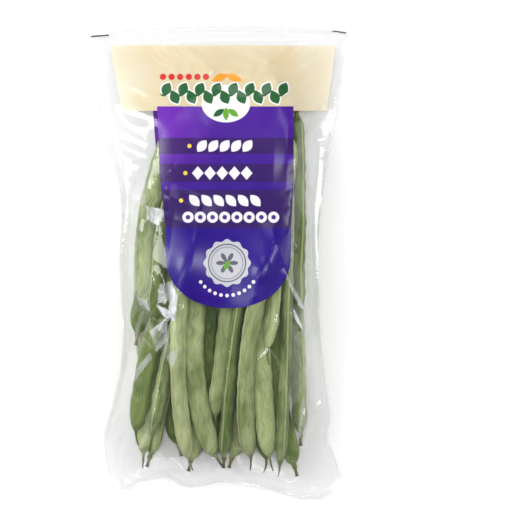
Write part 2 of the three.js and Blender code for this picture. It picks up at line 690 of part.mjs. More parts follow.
// The film bag: two sheets welded all round, with the pods' room between them and vents through the back.
function filmBag(pods, settled) {
  const grid = filmGrid();
  const supports = filmSupports(grid, podPoints(pods, settled));
  const front = drapedHeights(grid, supports, 1);
  const back = drapedHeights(grid, supports, -1);
  const wallAt = (heights, k) => {
    if (isRim(k)) return WALL * 0.6;
    const [left, right, before, after] = [k - 1, k + 1, k - COLUMNS, k + COLUMNS];
    const slopeX = (heights[right] - heights[left]) / (grid[right].x - grid[left].x);
    const slopeY = (heights[after] - heights[before]) / (grid[after].y - grid[before].y);
    return WALL * Math.hypot(1, slopeX, slopeY);
  };
  const outside = slab(
    grid,
    front.map((height, k) => height + wallAt(front, k)),
    back.map((height, k) => Math.max(0, height - wallAt(back, k))),
    0,
  );
  const inside = slab(grid, front, back, 1);
  let bag = outside.subtract(inside);
  for (const [x, y] of VENTS) {
    const vent = new THREE.CylinderGeometry(VENT_RADIUS, VENT_RADIUS, VENT_REACH, VENT_SIDES);
    bag = bag.subtract(solidFrom(vent.rotateX(Math.PI / 2).translate(x, y, VENT_REACH / 2 - WALL)));
  }
  return geometryFrom(bag);
}

function isRim(k) {
  return k % COLUMNS === 0 || k % COLUMNS === COLUMNS - 1 || k < COLUMNS || k >= COLUMNS * (ROWS - 1);
}

const pods = makePods();
const settled = settle(pods);
const lowest = Math.min(...podPoints(pods, settled).map((point) => point.z - riseAt(point.x, point.y)));
for (const { centre } of settled.flat()) centre.z += WALL + CLEARANCE - lowest;
const bundle = new THREE.Group();
const podMaterial = new THREE.MeshStandardMaterial({ color: 0x8fa45a, roughness: 0.55 });
const filmMaterial = new THREE.MeshStandardMaterial({ color: 0xe8eaf0, roughness: 0.1 });
filmMaterial.transparent = true;
filmMaterial.opacity = 0.3;
pods.forEach((pod, i) => {
  const mesh = new THREE.Mesh(podGeometry(pod, settled[i]), podMaterial);
  mesh.name = "pod_" + String(i + 1).padStart(2, "0");
  bundle.add(mesh);
});
const bag = new THREE.Mesh(filmBag(pods, settled), filmMaterial);
bag.name = "film_bag";
bundle.add(bag);
const box = new THREE.Box3().setFromObject(bag);
const middle = box.getCenter(new THREE.Vector3());
for (const mesh of bundle.children) mesh.geometry.translate(-middle.x, -middle.y, 0);
const size = box.getSize(new THREE.Vector3());
console.log("bag " + size.toArray().map((side) => side.toFixed(1)).join(" x ") + " mm");

export default bundle;
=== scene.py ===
# %% [markdown]
# # A bundle of green beans in a printed film bag
# The bundle is a pile of loose pods inside a clear bag that is welded on all four sides. It lies on its
# back on a pale table and the camera looks straight down on it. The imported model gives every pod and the
# bag their places. Here each pod gets its swellings, seams, stalk and beak, the bag becomes thin creased
# film, and the print goes on the film. Lengths are in millimetres until a mesh is made, because a maker
# thinks of beans in millimetres.

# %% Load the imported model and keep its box
import json
import math

import bpy
import numpy as np
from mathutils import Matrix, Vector
from mathutils.bvhtree import BVHTree

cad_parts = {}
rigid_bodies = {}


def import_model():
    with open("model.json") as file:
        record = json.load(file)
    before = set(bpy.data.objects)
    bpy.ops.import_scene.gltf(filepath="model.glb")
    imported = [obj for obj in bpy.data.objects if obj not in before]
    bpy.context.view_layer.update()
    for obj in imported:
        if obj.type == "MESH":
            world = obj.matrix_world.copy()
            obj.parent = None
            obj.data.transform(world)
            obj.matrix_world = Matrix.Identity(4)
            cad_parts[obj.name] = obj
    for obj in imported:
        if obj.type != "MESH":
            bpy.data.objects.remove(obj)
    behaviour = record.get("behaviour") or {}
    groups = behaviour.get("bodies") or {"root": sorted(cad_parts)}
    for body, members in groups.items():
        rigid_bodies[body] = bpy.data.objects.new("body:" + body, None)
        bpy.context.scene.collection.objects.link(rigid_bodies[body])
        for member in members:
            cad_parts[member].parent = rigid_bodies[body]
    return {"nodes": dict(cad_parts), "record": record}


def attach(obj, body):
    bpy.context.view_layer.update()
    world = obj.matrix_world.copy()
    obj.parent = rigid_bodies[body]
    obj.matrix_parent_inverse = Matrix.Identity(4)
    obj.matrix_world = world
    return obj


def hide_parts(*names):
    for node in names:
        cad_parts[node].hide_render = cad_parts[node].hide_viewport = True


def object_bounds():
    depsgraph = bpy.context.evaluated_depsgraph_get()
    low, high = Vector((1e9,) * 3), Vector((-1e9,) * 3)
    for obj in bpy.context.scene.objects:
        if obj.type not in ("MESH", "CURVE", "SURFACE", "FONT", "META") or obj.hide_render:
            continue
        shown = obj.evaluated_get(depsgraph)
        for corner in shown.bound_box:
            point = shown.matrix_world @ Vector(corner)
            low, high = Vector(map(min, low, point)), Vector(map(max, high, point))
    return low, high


for stray in list(bpy.data.objects):
    bpy.data.objects.remove(stray)
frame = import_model()
MM = 0.001
cad_box = [list(corner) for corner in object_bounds()]
pod_nodes = sorted(name for name in frame["nodes"] if name.startswith("pod_"))
print(len(pod_nodes), "pods; the model measures", [round((b - a) / MM) for a, b in zip(*cad_box)], "mm")

# %% [markdown]
# ## Shader maths
# A material's colour is worked out from where a point lies on the piece: how far along the pod, how near
# the seam, how high on the label. Blender does that with Math nodes, which are long to write one by one.
# One small class stands for a wire between nodes, so that the sums can be written as ordinary Python,
# and each sign adds its node.


# %% A wire between nodes, and a finish to put them in
class Wire:
    """A value, colour or direction that runs between a material's nodes."""

    def __init__(self, finish, socket):
        self.finish = finish
        self.socket = socket

    def maths(self, operation, *values):
        return self.finish.node("ShaderNodeMath", {"operation": operation}, dict(enumerate(values)))

    def __add__(self, other):
        return self.maths("ADD", self, other)

    __radd__ = __add__

    def __mul__(self, other):
        return self.maths("MULTIPLY", self, other)

    __rmul__ = __mul__

    def __sub__(self, other):
        return self.maths("SUBTRACT", self, other)

    def __rsub__(self, other):
        return self.maths("SUBTRACT", other, self)

    def __truediv__(self, other):
        return self.maths("DIVIDE", self, other)

    def __pow__(self, power):
        return self.maths("POWER", self, power)

    def __abs__(self):
        return self.maths("ABSOLUTE", self)

    def __mod__(self, step):
        return self.maths("FLOORED_MODULO", self, step)

    def least(self, other):
        return self.maths("MINIMUM", self, other)

    def most(self, other):
        return self.maths("MAXIMUM", self, other)

    def rises(self, low, high):
        """0 below low, 1 above high, with a smooth step between."""
        settings = {"interpolation_type": "SMOOTHSTEP"}
        values = {"Value": self, "From Min": low, "From Max": high}
        return self.finish.node("ShaderNodeMapRange", settings, values)

    def falls(self, low, high):
        return 1 - self.rises(low, high)


class Finish:
    """A material and its node tree."""

    def __init__(self, name):
        self.material = bpy.data.materials.new(name)
        self.material.use_nodes = True
        self.tree = self.material.node_tree
        self.tree.nodes.clear()

    def node(self, kind, settings=None, values=None, out=0):
        made = self.tree.nodes.new(kind)
        for setting, value in (settings or {}).items():
            setattr(made, setting, value)
        for socket, value in (values or {}).items():
            if isinstance(value, Wire):
                self.tree.links.new(value.socket, made.inputs[socket])
            else:
                made.inputs[socket].default_value = value
        return Wire(self, made.outputs[out]) if made.outputs else None

    def read(self, attribute, out="Fac"):
        """A number or a vector that the mesh carries at each of its points."""
        return self.node("ShaderNodeAttribute", {"attribute_name": attribute}, out=out)

    def blend(self, share, low, high):
        """A colour between two colours."""
        settings = {"data_type": "RGBA", "clamp_factor": True}
        low, high = [(*c, 1) if isinstance(c, tuple) and len(c) == 3 else c for c in (low, high)]
        return self.node("ShaderNodeMix", settings, {0: share, 6: low, 7: high}, out=2)

    def scaled(self, vector, by):
        settings = {"operation": "MULTIPLY"}
        return self.node("ShaderNodeVectorMath", settings, {0: vector, 1: by})

    def cloud(self, where, scale, detail=3, roughness=0.55):
        """Soft noise from 0 to 1."""
        values = {"Vector": where, "Scale": scale, "Detail": detail, "Roughness": roughness}
        return self.node("ShaderNodeTexNoise", {"noise_dimensions": "3D"}, values)

    def bump(self, height, distance, strength):
        values = {"Height": height, "Distance": distance, "Strength": strength}
        return self.node("ShaderNodeBump", {}, values)

    def show(self, shader):
        self.node("ShaderNodeOutputMaterial", {}, {"Surface": shader})
        return self.material


print("shader helpers ready")

# %% [markdown]
# ## Smooth runs of points
# Both the pods' middle lines and the bag's edges are known as a few points each. A Catmull-Rom curve
# passes through all its points and bends evenly between them, so it suits things that grew or were
# pulled into shape.


# %% A smooth run through a few points
SAMPLES = 24  # points on the curve between two of the points that it passes


def smooth_run(points, shares):
    """Places on a smooth curve through the points, at shares of its length."""
    points = np.asarray(points, float)
    padded = np.vstack([2 * points[0] - points[1], points, 2 * points[-1] - points[-2]])
    knots = np.concatenate([[0], np.cumsum(np.linalg.norm(np.diff(padded, axis=0), axis=1) ** 0.5)])
    dense = []
    for i in range(1, len(padded) - 2):
        t0, t1, t2, t3 = knots[i - 1 : i + 3]
        t = np.linspace(t1, t2, SAMPLES, endpoint=i == len(padded) - 3)[:, None]
        p0, p1, p2, p3 = padded[i - 1 : i + 3]
        a1 = ((t1 - t) * p0 + (t - t0) * p1) / (t1 - t0)
        a2 = ((t2 - t) * p1 + (t - t1) * p2) / (t2 - t1)
        a3 = ((t3 - t) * p2 + (t - t2) * p3) / (t3 - t2)
        b1 = ((t2 - t) * a1 + (t - t0) * a2) / (t2 - t0)
        b2 = ((t3 - t) * a2 + (t - t1) * a3) / (t3 - t1)
        dense.append(((t2 - t) * b1 + (t - t1) * b2) / (t2 - t1))
    dense = np.vstack(dense)
    length = np.concatenate([[0], np.cumsum(np.linalg.norm(np.diff(dense, axis=0), axis=1))])
    at = np.asarray(shares) * length[-1]
    return np.stack([np.interp(at, length, dense[:, k]) for k in range(points.shape[1])], axis=1)


def unit(vectors):
    return vectors / np.maximum(np.linalg.norm(vectors, axis=-1, keepdims=True), 1e-9)


arch = smooth_run([[0, 0], [1, 1], [2, 0]], [0.5])
print("halfway along an arch of three points, the run is at", arch[0].round(2))

# %% [markdown]
# ## Where each pod lies
# A packed pod is a loft: rings of eight points along a bent middle line. The two flat ends are the only
# places where six triangles share a plane, so they are easy to find, and from one end the rings follow
# one after another. Each ring tells the pod's middle, and its widest pair of points tells which way the
# pod lies flat.


# %% Read the rings of a packed pod
IN_A_RING = 8  # points
LEVEL = 0.9999  # least cosine between the normals of two triangles that share a plane
END_SIZE = 3.5  # a flat end is smaller than this, in millimetres
OVAL = 1.15  # a ring whose spokes differ less than this is too round to tell its width by


def packed_triangles(node):
    """The pod's points in millimetres, each place once, and its triangles."""
    mesh = frame["nodes"][node].data
    mesh.calc_loop_triangles()
    raw = np.array([v.co for v in mesh.vertices]) / MM
    _, kept, same = np.unique(raw.round(2), axis=0, return_index=True, return_inverse=True)
    same = same.reshape(-1)
    return raw[kept], [tuple(same[i] for i in t.vertices) for t in mesh.loop_triangles]


def neighbours(keys, corners):
    """Each point's neighbours, and each triangle's neighbours in its own plane."""
    normals = unit(np.array([np.cross(keys[b] - keys[a], keys[c] - keys[a]) for a, b, c in corners]))
    by_edge = {}
    near = [set() for _ in keys]
    for face, (a, b, c) in enumerate(corners):
        for p, q in ((a, b), (b, c), (c, a)):
            by_edge.setdefault(frozenset((p, q)), []).append(face)
            near[p].add(q)
            near[q].add(p)
    level = [set() for _ in corners]
    for pair in by_edge.values():
        if len(pair) == 2 and normals[pair[0]] @ normals[pair[1]] > LEVEL:
            level[pair[0]].add(pair[1])
            level[pair[1]].add(pair[0])
    return near, level


def flat_ends(keys, corners, level):
    """The points of each flat end."""
    ends, seen = [], set()
    for face in range(len(corners)):
        if face in seen:
            continue
        group, todo = set(), [face]
        while todo:
            one = todo.pop()
            if one not in group:
                group.add(one)
                todo.extend(level[one])
        seen |= group
        points = {p for one in group for p in corners[one]}
        if len(points) == IN_A_RING and np.ptp(keys[list(points)], axis=0).max() < END_SIZE:
            ends.append(points)
    return ends


def rings_of(node):
    """Ring centres, directions of the width and half widths, from the stalk."""
    keys, corners = packed_triangles(node)
    near, level = neighbours(keys, corners)
    ends = flat_ends(keys, corners, level)
    spread = [max(np.linalg.norm(keys[p] - keys[list(end)].mean(0)) for p in end) for end in ends]
    ring = ends[int(np.argmax(spread))]
    rings, used = [], set()
    while ring:
        rings.append(sorted(ring))
        used |= ring
        ring = {q for p in ring for q in near[p]} - used
    centres = np.array([keys[r].mean(0) for r in rings])
    reach = [np.linalg.norm(keys[r] - c, axis=1) for r, c in zip(rings, centres)]
    side = [None] * len(rings)
    middle = len(rings) // 2
    for k in [*range(middle, len(rings)), *range(middle - 1, -1, -1)]:
        last = side[k - 1] if k > middle else side[k + 1] if k < middle else None
        spokes = unit(keys[rings[k]] - centres[k])
        if last is None or reach[k].max() > OVAL * reach[k].min():
            side[k] = spokes[int(np.argmax(reach[k]))]
        else:
            side[k] = spokes[int(np.argmax(np.abs(spokes @ last)))]
        if last is not None and side[k] @ last < 0:
            side[k] = -side[k]
    return centres, np.array(side), np.array([r.max() for r in reach])


pod_rings = {node: rings_of(node) for node in pod_nodes}
ring_counts = sorted({len(rings[0]) for rings in pod_rings.values()})
widest = max(widths.max() for _, _, widths in pod_rings.values())
print("rings to a pod:", ring_counts, "half width up to", widest.round(2), "mm")

# %% [markdown]
# ## The shape of a pod
# A flat green bean is a flattened tube. It swells over each seed, so its outline is gently wavy, and
# along each edge runs a seam: two fine ridges with a groove between. One end keeps a stub of stalk in a
# small dried cap. The other thins quickly to a curved beak. Lofting one cross-section along the pod's
# middle line gives all of that, with the width, thickness and seam changed from station to station.

# %% Sizes of a pod
STALK, SHOULDER = 8.0, 13.0
BEAK, TAPER = 11.0, 18.0
HALF_WIDTH, HALF_THICKNESS = 7.2, 4.45
PACKED_HALF_WIDTH = 6.9  # of a packed pod of middling size
SEED_PITCH, SEED_REACH = 13.2, 4.6
BOXY = 0.86  # below 1, the cross-section is squarer than an oval
STATIONS = 116
ROUND = np.radians([0, 4, 9, 16, 28, 46, 68, 90, 112, 134, 152, 164, 171, 176])
ANGLES = np.concatenate([ROUND, ROUND + np.pi])
draw = np.random.default_rng(7)
print("points round a pod:", len(ANGLES))


# %% Stations along a pod, with their directions and sizes
def smooth_step(value, low, high):
    share = np.clip((value - low) / (high - low), 0, 1)
    return share * share * (3 - 2 * share)


def pod_stations(node):
    centres, sides, widths = pod_rings[node]
    shares = np.concatenate([[0], np.cumsum(np.linalg.norm(np.diff(centres, axis=0), axis=1))])
    length = shares[-1]
    at = np.linspace(0, 1, STATIONS)
    middle = smooth_run(centres, at)
    tangent = unit(np.gradient(middle, axis=0))
    side = np.stack([np.interp(at * length, shares, sides[:, k]) for k in range(3)], axis=1)
    flat = unit(side - tangent * np.sum(side * tangent, axis=1, keepdims=True))
    plump = widths.max() / PACKED_HALF_WIDTH
    along, from_tip = at * length, length * (1 - at)
    shoulder = np.clip((along - STALK) / SHOULDER, 0, 1)
    taper = np.clip((from_tip - BEAK) / TAPER, 0, 1)
    full = np.minimum(np.sin(shoulder * np.pi / 2) ** 0.72, np.sin(taper * np.pi / 2) ** 0.55)
    seeds = np.arange(STALK + 17, length - BEAK - 16, SEED_PITCH)
    seeds = seeds + draw.uniform(-1.6, 1.6, len(seeds))
    swell = np.exp(-(((along[:, None] - seeds) / SEED_REACH) ** 2)) @ draw.uniform(0.5, 1.1, len(seeds))
    width = HALF_WIDTH * plump * full * (0.955 + 0.075 * swell)
    thick = HALF_THICKNESS * plump * full * (0.88 + 0.2 * swell)
    collar = np.exp(-(((along - STALK + 0.5) / 1.5) ** 2))
    stub = 1.05 + 1.0 * collar + 0.45 * np.exp(-((along / 1.2) ** 2))
    beak = 0.42 + 0.75 * np.clip(from_tip / BEAK, 0, 1) ** 1.6
    least = np.where(along < length / 2, stub, beak)
    flatter = np.where(along < length / 2, 1, 0.8)
    return {
        "middle": middle,
        "tangent": tangent,
        "flat": flat,
        "normal": unit(np.cross(tangent, flat)),
        "width": np.maximum(width, least),
        "thick": np.maximum(thick, least * flatter),
        "full": full,
        "along": along,
        "from_tip": from_tip,
        "length": length,
    }


pods = {node: pod_stations(node) for node in pod_nodes}
lengths = [pod["length"] for pod in pods.values()]
print("pods from", round(min(lengths)), "to", round(max(lengths)), "mm")


# %% Loft the pods
def new_piece(name, points, faces, finish, attributes=None):
    """A smooth-shaded object from points in millimetres, with numbers or vectors at its points."""
    mesh = bpy.data.meshes.new(name)
    mesh.from_pydata((np.asarray(points) * MM).tolist(), [], [tuple(map(int, face)) for face in faces])
    mesh.polygons.foreach_set("use_smooth", [True] * len(mesh.polygons))
    for attribute, values in (attributes or {}).items():
        values = np.asarray(values, np.float32)
        kind = "FLOAT_VECTOR" if values.ndim == 2 else "FLOAT"
        made = mesh.attributes.new(attribute, kind, "POINT")
        made.data.foreach_set("vector" if values.ndim == 2 else "value", values.reshape(-1))
    mesh.materials.append(finish)
    piece = bpy.data.objects.new(name, mesh)
    bpy.context.scene.collection.objects.link(piece)
    return piece


def loft_pod(pod):
    """A pod's points and faces, and how near a seam each point of a ring is, from 0 to 1."""
    cosine, sine = np.cos(ANGLES), np.sin(ANGLES)
    box_x = np.sign(cosine) * np.abs(cosine) ** BOXY
    box_y = np.sign(sine) * np.abs(sine) ** BOXY
    off_seam = np.degrees(np.minimum(np.abs(np.arcsin(np.clip(sine, -1, 1))), np.pi / 2))
    ridge = 0.62 * np.exp(-(((off_seam - 5) / 3.2) ** 2)) - 0.2 * np.exp(-((off_seam / 2.5) ** 2))
    x = pod["width"][:, None] * box_x + pod["full"][:, None] * ridge * np.sign(cosine)
    y = pod["thick"][:, None] * box_y
    points = pod["middle"][:, None] + x[..., None] * pod["flat"][:, None]
    points = points + y[..., None] * pod["normal"][:, None]
    around = len(ANGLES)
    faces = []
    for i in range(STATIONS - 1):
        for j in range(around):
            k = (j + 1) % around
            faces.append((i * around + j, i * around + k, (i + 1) * around + k, (i + 1) * around + j))
    last = (STATIONS - 1) * around
    faces += [list(range(around))[::-1], list(range(last, last + around))]
    return points.reshape(-1, 3), faces, np.exp(-((off_seam / 9) ** 2))


def over_rings(values):
    return np.repeat(values, len(ANGLES))


print("lofting helpers ready")

# %% [markdown]
# ## The skin of a pod
# Up close a green bean isn't one green. The flat faces are a soft grey-green with fine streaks along the
# fibres, slightly yellow where they were shaded, and the ridges beside each seam are paler, with a painted
# highlight on them. Painted shade darkens the groove of each seam and the flanks beside its ridges. Thin
# brown scratches cross some pods. The stub of stalk is brown-green and the beak dries to nearly black.
# Each of those is a mask worked out from how far along and how near the seam a point is, and the masks mix
# one colour after another.


# %% Pod finishes
SUNLESS, PALE_SEAM_AND_HIGHLIGHT, SEAM_FLANK_SHADE = (0.43, 0.43, 0.2), (0.5, 0.56, 0.29), (0.07, 0.12, 0.025)
PORE, GROOVE_SHADE, SCRATCH, SPOT = (0.1, 0.15, 0.035), (0.07, 0.12, 0.02), (0.13, 0.1, 0.03), (0.16, 0.13, 0.04)
STUB, STUB_END = (0.2, 0.17, 0.05), (0.12, 0.075, 0.03)
NECK, BEAK_END = (0.09, 0.11, 0.035), (0.04, 0.03, 0.018)


def pod_finish(name, deep, light):
    finish = Finish(name)
    skin = finish.read("skin", "Vector")
    tone, seam = finish.read("tone"), finish.read("seam")
    along, from_tip = finish.read("along"), finish.read("from_tip")

    def noise(scale, detail, roughness=0.55):
        """Noise on the skin, with a scale along the pod, one round it and one from pod to pod."""
        return finish.cloud(finish.scaled(skin, scale), 1.0, detail, roughness)

    broad = noise((0.035, 0.12, 1.0), 3)
    streak = noise((0.045, 1.3, 1.0), 4, 0.65)
    speck = noise((0.9, 1.5, 1.0), 2)
    pores = noise((1.7, 2.4, 2.0), 1).rises(0.58, 0.72)
    scratch = noise((1.7, 0.16, 5.0), 1).rises(0.7, 0.735) * noise((0.06, 0.15, 8.0), 1).rises(0.56, 0.62)
    shade = broad.rises(0.3, 0.72) * 0.6 + streak.rises(0.3, 0.75) * 0.5 + tone * 0.5 + speck * 0.3 - 0.38
    colour = finish.blend(shade, deep, light)
    for share, stain in (
        (noise((0.05, 0.2, 3.0), 2).rises(0.6, 0.78) * 0.4, SUNLESS),
        # Paler ridge colour beside each seam, with a painted highlight on the ridge.
        (seam.rises(0.5, 0.9) * 0.7, PALE_SEAM_AND_HIGHLIGHT),
        # Painted shade on the flanks beside the seam's ridges.
        (seam.rises(0.04, 0.2) * seam.falls(0.2, 0.5) * 0.5, SEAM_FLANK_SHADE),
        (pores * 0.22, PORE),
        # Painted shade in the groove of each seam, on top of the shading its shape already gives.
        (seam.rises(0.93, 1.0) * 0.55, GROOVE_SHADE),
        (scratch * 0.65, SCRATCH),
        (noise((0.55, 0.6, 11.0), 1).rises(0.74, 0.8) * 0.35, SPOT),
        (along.falls(7.0, 11.5), STUB),
        (along.falls(1.0, 5.0) * 0.75, STUB_END),
        (from_tip.falls(6.0, 19.0) * 0.85, NECK),
        (from_tip.falls(0.5, 7.0) * 0.7, BEAK_END),
    ):
        colour = finish.blend(share, colour, stain)
    fuzz, fibre = noise((2.6, 3.4, 1.0), 3), noise((0.12, 3.0, 1.0), 2)
    relief = finish.bump(fuzz * 0.6 + fibre * 0.7 + pores * -0.3 + scratch * -1.2, 0.00025, 0.75)
    values = {
        "Base Color": colour,
        "Roughness": 0.42 + streak * 0.16 + scratch * 0.2,
        "Normal": relief,
        "Coat Weight": 0.06,
        "Coat Roughness": 0.3,
        "Sheen Weight": 0.12,
        "Sheen Roughness": 0.5,
        "Specular IOR Level": 0.42,
    }
    return finish.show(finish.node("ShaderNodeBsdfPrincipled", {}, values))


pod_finishes = {
    "pod_mid": pod_finish("Pod skin, mid", (0.1, 0.155, 0.04), (0.49, 0.56, 0.26)),
    "pod_light": pod_finish("Pod skin, light", (0.18, 0.24, 0.075), (0.59, 0.64, 0.34)),
    # The deep skin is a darker copy given to the pods lying underneath: painted shade in the gaps.
    "pod_deep": pod_finish("Pod skin, painted shade", (0.045, 0.09, 0.014), (0.24, 0.32, 0.09)),
}
slot_of = {part["node"]: part["material_slot"] for part in frame["record"]["subparts"]}
print("pod finishes:", ", ".join(pod_finishes))

# %% Make the pods
for number, (node, pod) in enumerate(pods.items()):
    points, faces, seam = loft_pod(pod)
    girth = np.tile(ANGLES, STATIONS) * over_rings(pod["width"]).clip(2)
    attributes = {
        "skin": np.stack([over_rings(pod["along"]), girth, np.full(len(points), number * 37.0)], axis=1),
        "seam": np.tile(seam, STATIONS) * over_rings(smooth_step(pod["full"], 0.2, 0.6)),
        "along": over_rings(pod["along"]),
        "from_tip": over_rings(pod["from_tip"]),
        "tone": np.full(len(points), draw.uniform(0, 1)),
    }
    slot = slot_of[node]
    piece = new_piece("bean_" + node, points, faces, pod_finishes[slot], attributes)
    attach(piece, "root")
    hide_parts(node)
print("made", len(pods), "pods")

# %% [markdown]
# ## How close the film may come
# The film touches the pods but never cuts them. To move thousands of film points clear of the pods
# quickly, the distance to the nearest pod is worked out once on a grid of small cells. Any point then
# looks up its distance and the way out.

# %% Distances to the nearest pod, in cells
CELL = 2.0
MARGIN = 6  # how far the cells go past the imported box
FAR = 9.0  # what a cell holds that isn't near any pod
NEAR = 13  # how far round a pod's middle line the cells are worked out
low = np.array(cad_box[0]) / MM - MARGIN
cells = np.ceil((np.array(cad_box[1]) / MM + MARGIN - low) / CELL).astype(int)
clearance = np.full(cells, FAR, np.float32)
for pod in pods.values():
    first = np.maximum(((pod["middle"].min(0) - NEAR - low) / CELL).astype(int), 0)
    last = np.minimum(((pod["middle"].max(0) + NEAR - low) / CELL).astype(int) + 1, cells)
    axes = [low[k] + (np.arange(first[k], last[k]) + 0.5) * CELL for k in range(3)]
    block = np.stack(np.meshgrid(*axes, indexing="ij"), axis=-1).astype(np.float32)
    nearest = clearance[first[0] : last[0], first[1] : last[1], first[2] : last[2]]
    for i in range(0, STATIONS, 2):
        row = pod["middle"][i, 1] - axes[1][0]
        rows = slice(max(int((row - NEAR - 1) / CELL), 0), int((row + NEAR + 1) / CELL) + 1)
        away = block[:, rows] - pod["middle"][i].astype(np.float32)
        across = away @ pod["flat"][i].astype(np.float32)
        through = away @ pod["normal"][i].astype(np.float32)
        ahead = away @ pod["tangent"][i].astype(np.float32)
        width, thick = pod["width"][i], pod["thick"][i]
        past = np.maximum(np.abs(across) - max(width - thick, 0), 0)
        distance = np.sqrt(past**2 + through**2 + ahead**2) - thick
        np.minimum(nearest[:, rows], distance, out=nearest[:, rows])
way_out = unit(np.stack(np.gradient(clearance), axis=-1)).astype(np.float32)
print("distance cells:", clearance.size, "of which inside a pod:", int((clearance < 0).sum()))


# %% Push film points clear of the pods
def look_up(points):
    """Distance to the nearest pod, and the direction away from it."""
    at = (points - low) / CELL - 0.5
    base = np.clip(at.astype(int), 0, cells - 2)
    part = np.clip(at - base, 0, 1)
    x, y, z = base.T
    total = 0
    for i in (0, 1):
        for j in (0, 1):
            for k in (0, 1):
                share = [part[:, a] if bit else 1 - part[:, a] for a, bit in enumerate((i, j, k))]
                total = total + clearance[x + i, y + j, z + k] * share[0] * share[1] * share[2]
    nearest = np.clip(np.rint(at).astype(int), 0, cells - 1)
    return total, way_out[nearest[:, 0], nearest[:, 1], nearest[:, 2]]


def push_clear(sheet, gap, floor):
    flat = sheet.reshape(-1, 3)
    distance, away = look_up(flat)
    close = distance < gap
    flat[close] += (gap - distance[close])[:, None] * away[close]
    np.maximum(flat[:, 2], floor, out=flat[:, 2])


above = look_up(np.array([[0.0, 0.0, 90.0]]))[0][0]
print("30 mm above the bag, a pod is", above.round(1), "mm or more away")

# %% [markdown]
# ## The sealed edge of the bag
# The edge is where the two sheets are welded, so it fixes how the bag is spread. It was set out for the
# imported model: narrow at the middle, where the film is pulled in beside the pods, and wavy past their
# feet. The same points are repeated here, each as x, y and height, and a grid is stretched between the four
# edges.

# %% The four edges
LEFT_EDGE = [
    (-74, -175, 4.3), (-82, -156, 4.8), (-85, -129, 6.4), (-78, -103, 10.7), (-72, -73, 13.9),
    (-71, -43, 16.1), (-73, 0, 16.1), (-72, 48, 15), (-81, 85, 11.8), (-88, 115, 8.6),
    (-93, 147, 5.4), (-98, 172, 4.3),
]
RIGHT_EDGE = [
    (87, -171, 4.4), (92, -160, 4.8), (89, -148, 5.4), (82, -130, 8.6), (84, -111, 10.7),
    (80, -84, 12.9), (77, -56, 15), (75, 11, 16.1), (77, 43, 15), (84, 90, 11.8),
    (91, 129, 8.6), (98, 175, 4.3),
]
FOOT_EDGE = [
    (-74, -175, 4.3), (-62, -167, 4.8), (-49, -162, 5.4), (-36, -161, 5.4), (-26, -167, 4.8),
    (-13, -167, 4.8), (3, -164, 5.4), (24, -166, 5.4), (41, -170, 4.8), (63, -176, 4.4),
    (79, -176, 4.3), (87, -171, 4.4),
]
HEAD_EDGE = [
    (-98, 172, 4.3), (-48, 177, 5.4), (0, 179, 4.7), (48, 178, 5.4), (98, 175, 4.3),
]


def spread_grid(across, along):
    """Points between the four edges, row by row from the foot, centred on the bag's outline."""
    u, v = np.linspace(0, 1, across), np.linspace(0, 1, along)
    left, right = smooth_run(LEFT_EDGE, v)[:, None], smooth_run(RIGHT_EDGE, v)[:, None]
    foot, head = smooth_run(FOOT_EDGE, u)[None], smooth_run(HEAD_EDGE, u)[None]
    u, v = u[None, :, None], v[:, None, None]
    sheet = (1 - v) * foot + v * head + (1 - u) * left + u * right
    sheet -= (1 - u) * (1 - v) * foot[:, :1] + u * (1 - v) * foot[:, -1:]
    sheet -= (1 - u) * v * head[:, :1] + u * v * head[:, -1:]
    middle = (sheet[..., :2].reshape(-1, 2).max(0) + sheet[..., :2].reshape(-1, 2).min(0)) / 2
    sheet[..., :2] -= middle
    return sheet


ACROSS, ALONG = ((119, 205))
flat_grid = spread_grid(ACROSS, ALONG)
print("film grid", ACROSS, "x", ALONG, "points,", (np.ptp(flat_grid[..., 0]) / ACROSS).round(2), "mm apart")

# %% [markdown]
# ## Draping the film
# Thin film hardly stretches, so it does two things: it bridges from pod to pod like a drumskin, and
# where there is more of it than the shape needs it buckles into crisp folds. Blender's cloth could do
# it, but a film this stiff needs many small steps there. A grid of points held at fixed distances, each
# pushed clear of the pods, gives the same folds in seconds. First the sheet is drawn tight. Then its
# distances are let out a little, more beside the waist and past the pods' feet, and it settles again
# into folds.


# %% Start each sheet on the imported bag
TIGHT_STEPS = 120
FRONT_FLOOR, BACK_FLOOR = 1.2, 0.15  # how low each sheet may come
BACK_GAP = 0.5  # between the back sheet and the pods


def on_packed_bag(sheet, faces):
    """The grid's points moved onto the front (1) or back (-1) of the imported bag."""
    bag = frame["nodes"]["film_bag"].data
    tree = BVHTree.FromPolygons([v.co for v in bag.vertices], [p.vertices for p in bag.polygons])
    laid = sheet.copy()
    for j in range(1, laid.shape[0] - 1):
        for i in range(1, laid.shape[1] - 1):
            x, y = laid[j, i, :2] * MM
            hit = tree.ray_cast(Vector((x, y, faces * 0.3)), Vector((0, 0, -faces)))[0]
            if hit:
                laid[j, i, 2] = hit.z / MM
    return laid


def draw_tight(sheet, gap, floor):
    """Pulls the sheet tight over the pods, with its edge held."""
    for _ in range(TIGHT_STEPS):
        inner = sheet[1:-1, 1:-1]
        average = (sheet[:-2, 1:-1] + sheet[2:, 1:-1] + sheet[1:-1, :-2] + sheet[1:-1, 2:]) / 4
        moved = inner + 0.9 * (average - inner)
        push_clear(moved, gap, floor)
        sheet[1:-1, 1:-1] = moved
    return sheet


front = draw_tight(on_packed_bag(flat_grid, 1), 0.8, FRONT_FLOOR)
back = draw_tight(on_packed_bag(flat_grid, -1), BACK_GAP, BACK_FLOOR)
print("front film", front[..., 2].max().round(1), "mm high; back film lowest", back[..., 2].min().round(2))


# %% Let the sheets out and let them buckle
WEIGHT = 0.004  # how far a point would fall in a step
STIFFNESS = 0.2  # how hard the longer threads push back
DAMPING = 0.9  # how much of its speed a point keeps
ROUNDS = 3  # how often the threads are put right in a step
WAVES, WAVE_HEIGHT = 14, 30
INK_LIFT = 0.9  # how far the inked film stands up once its small folds are out


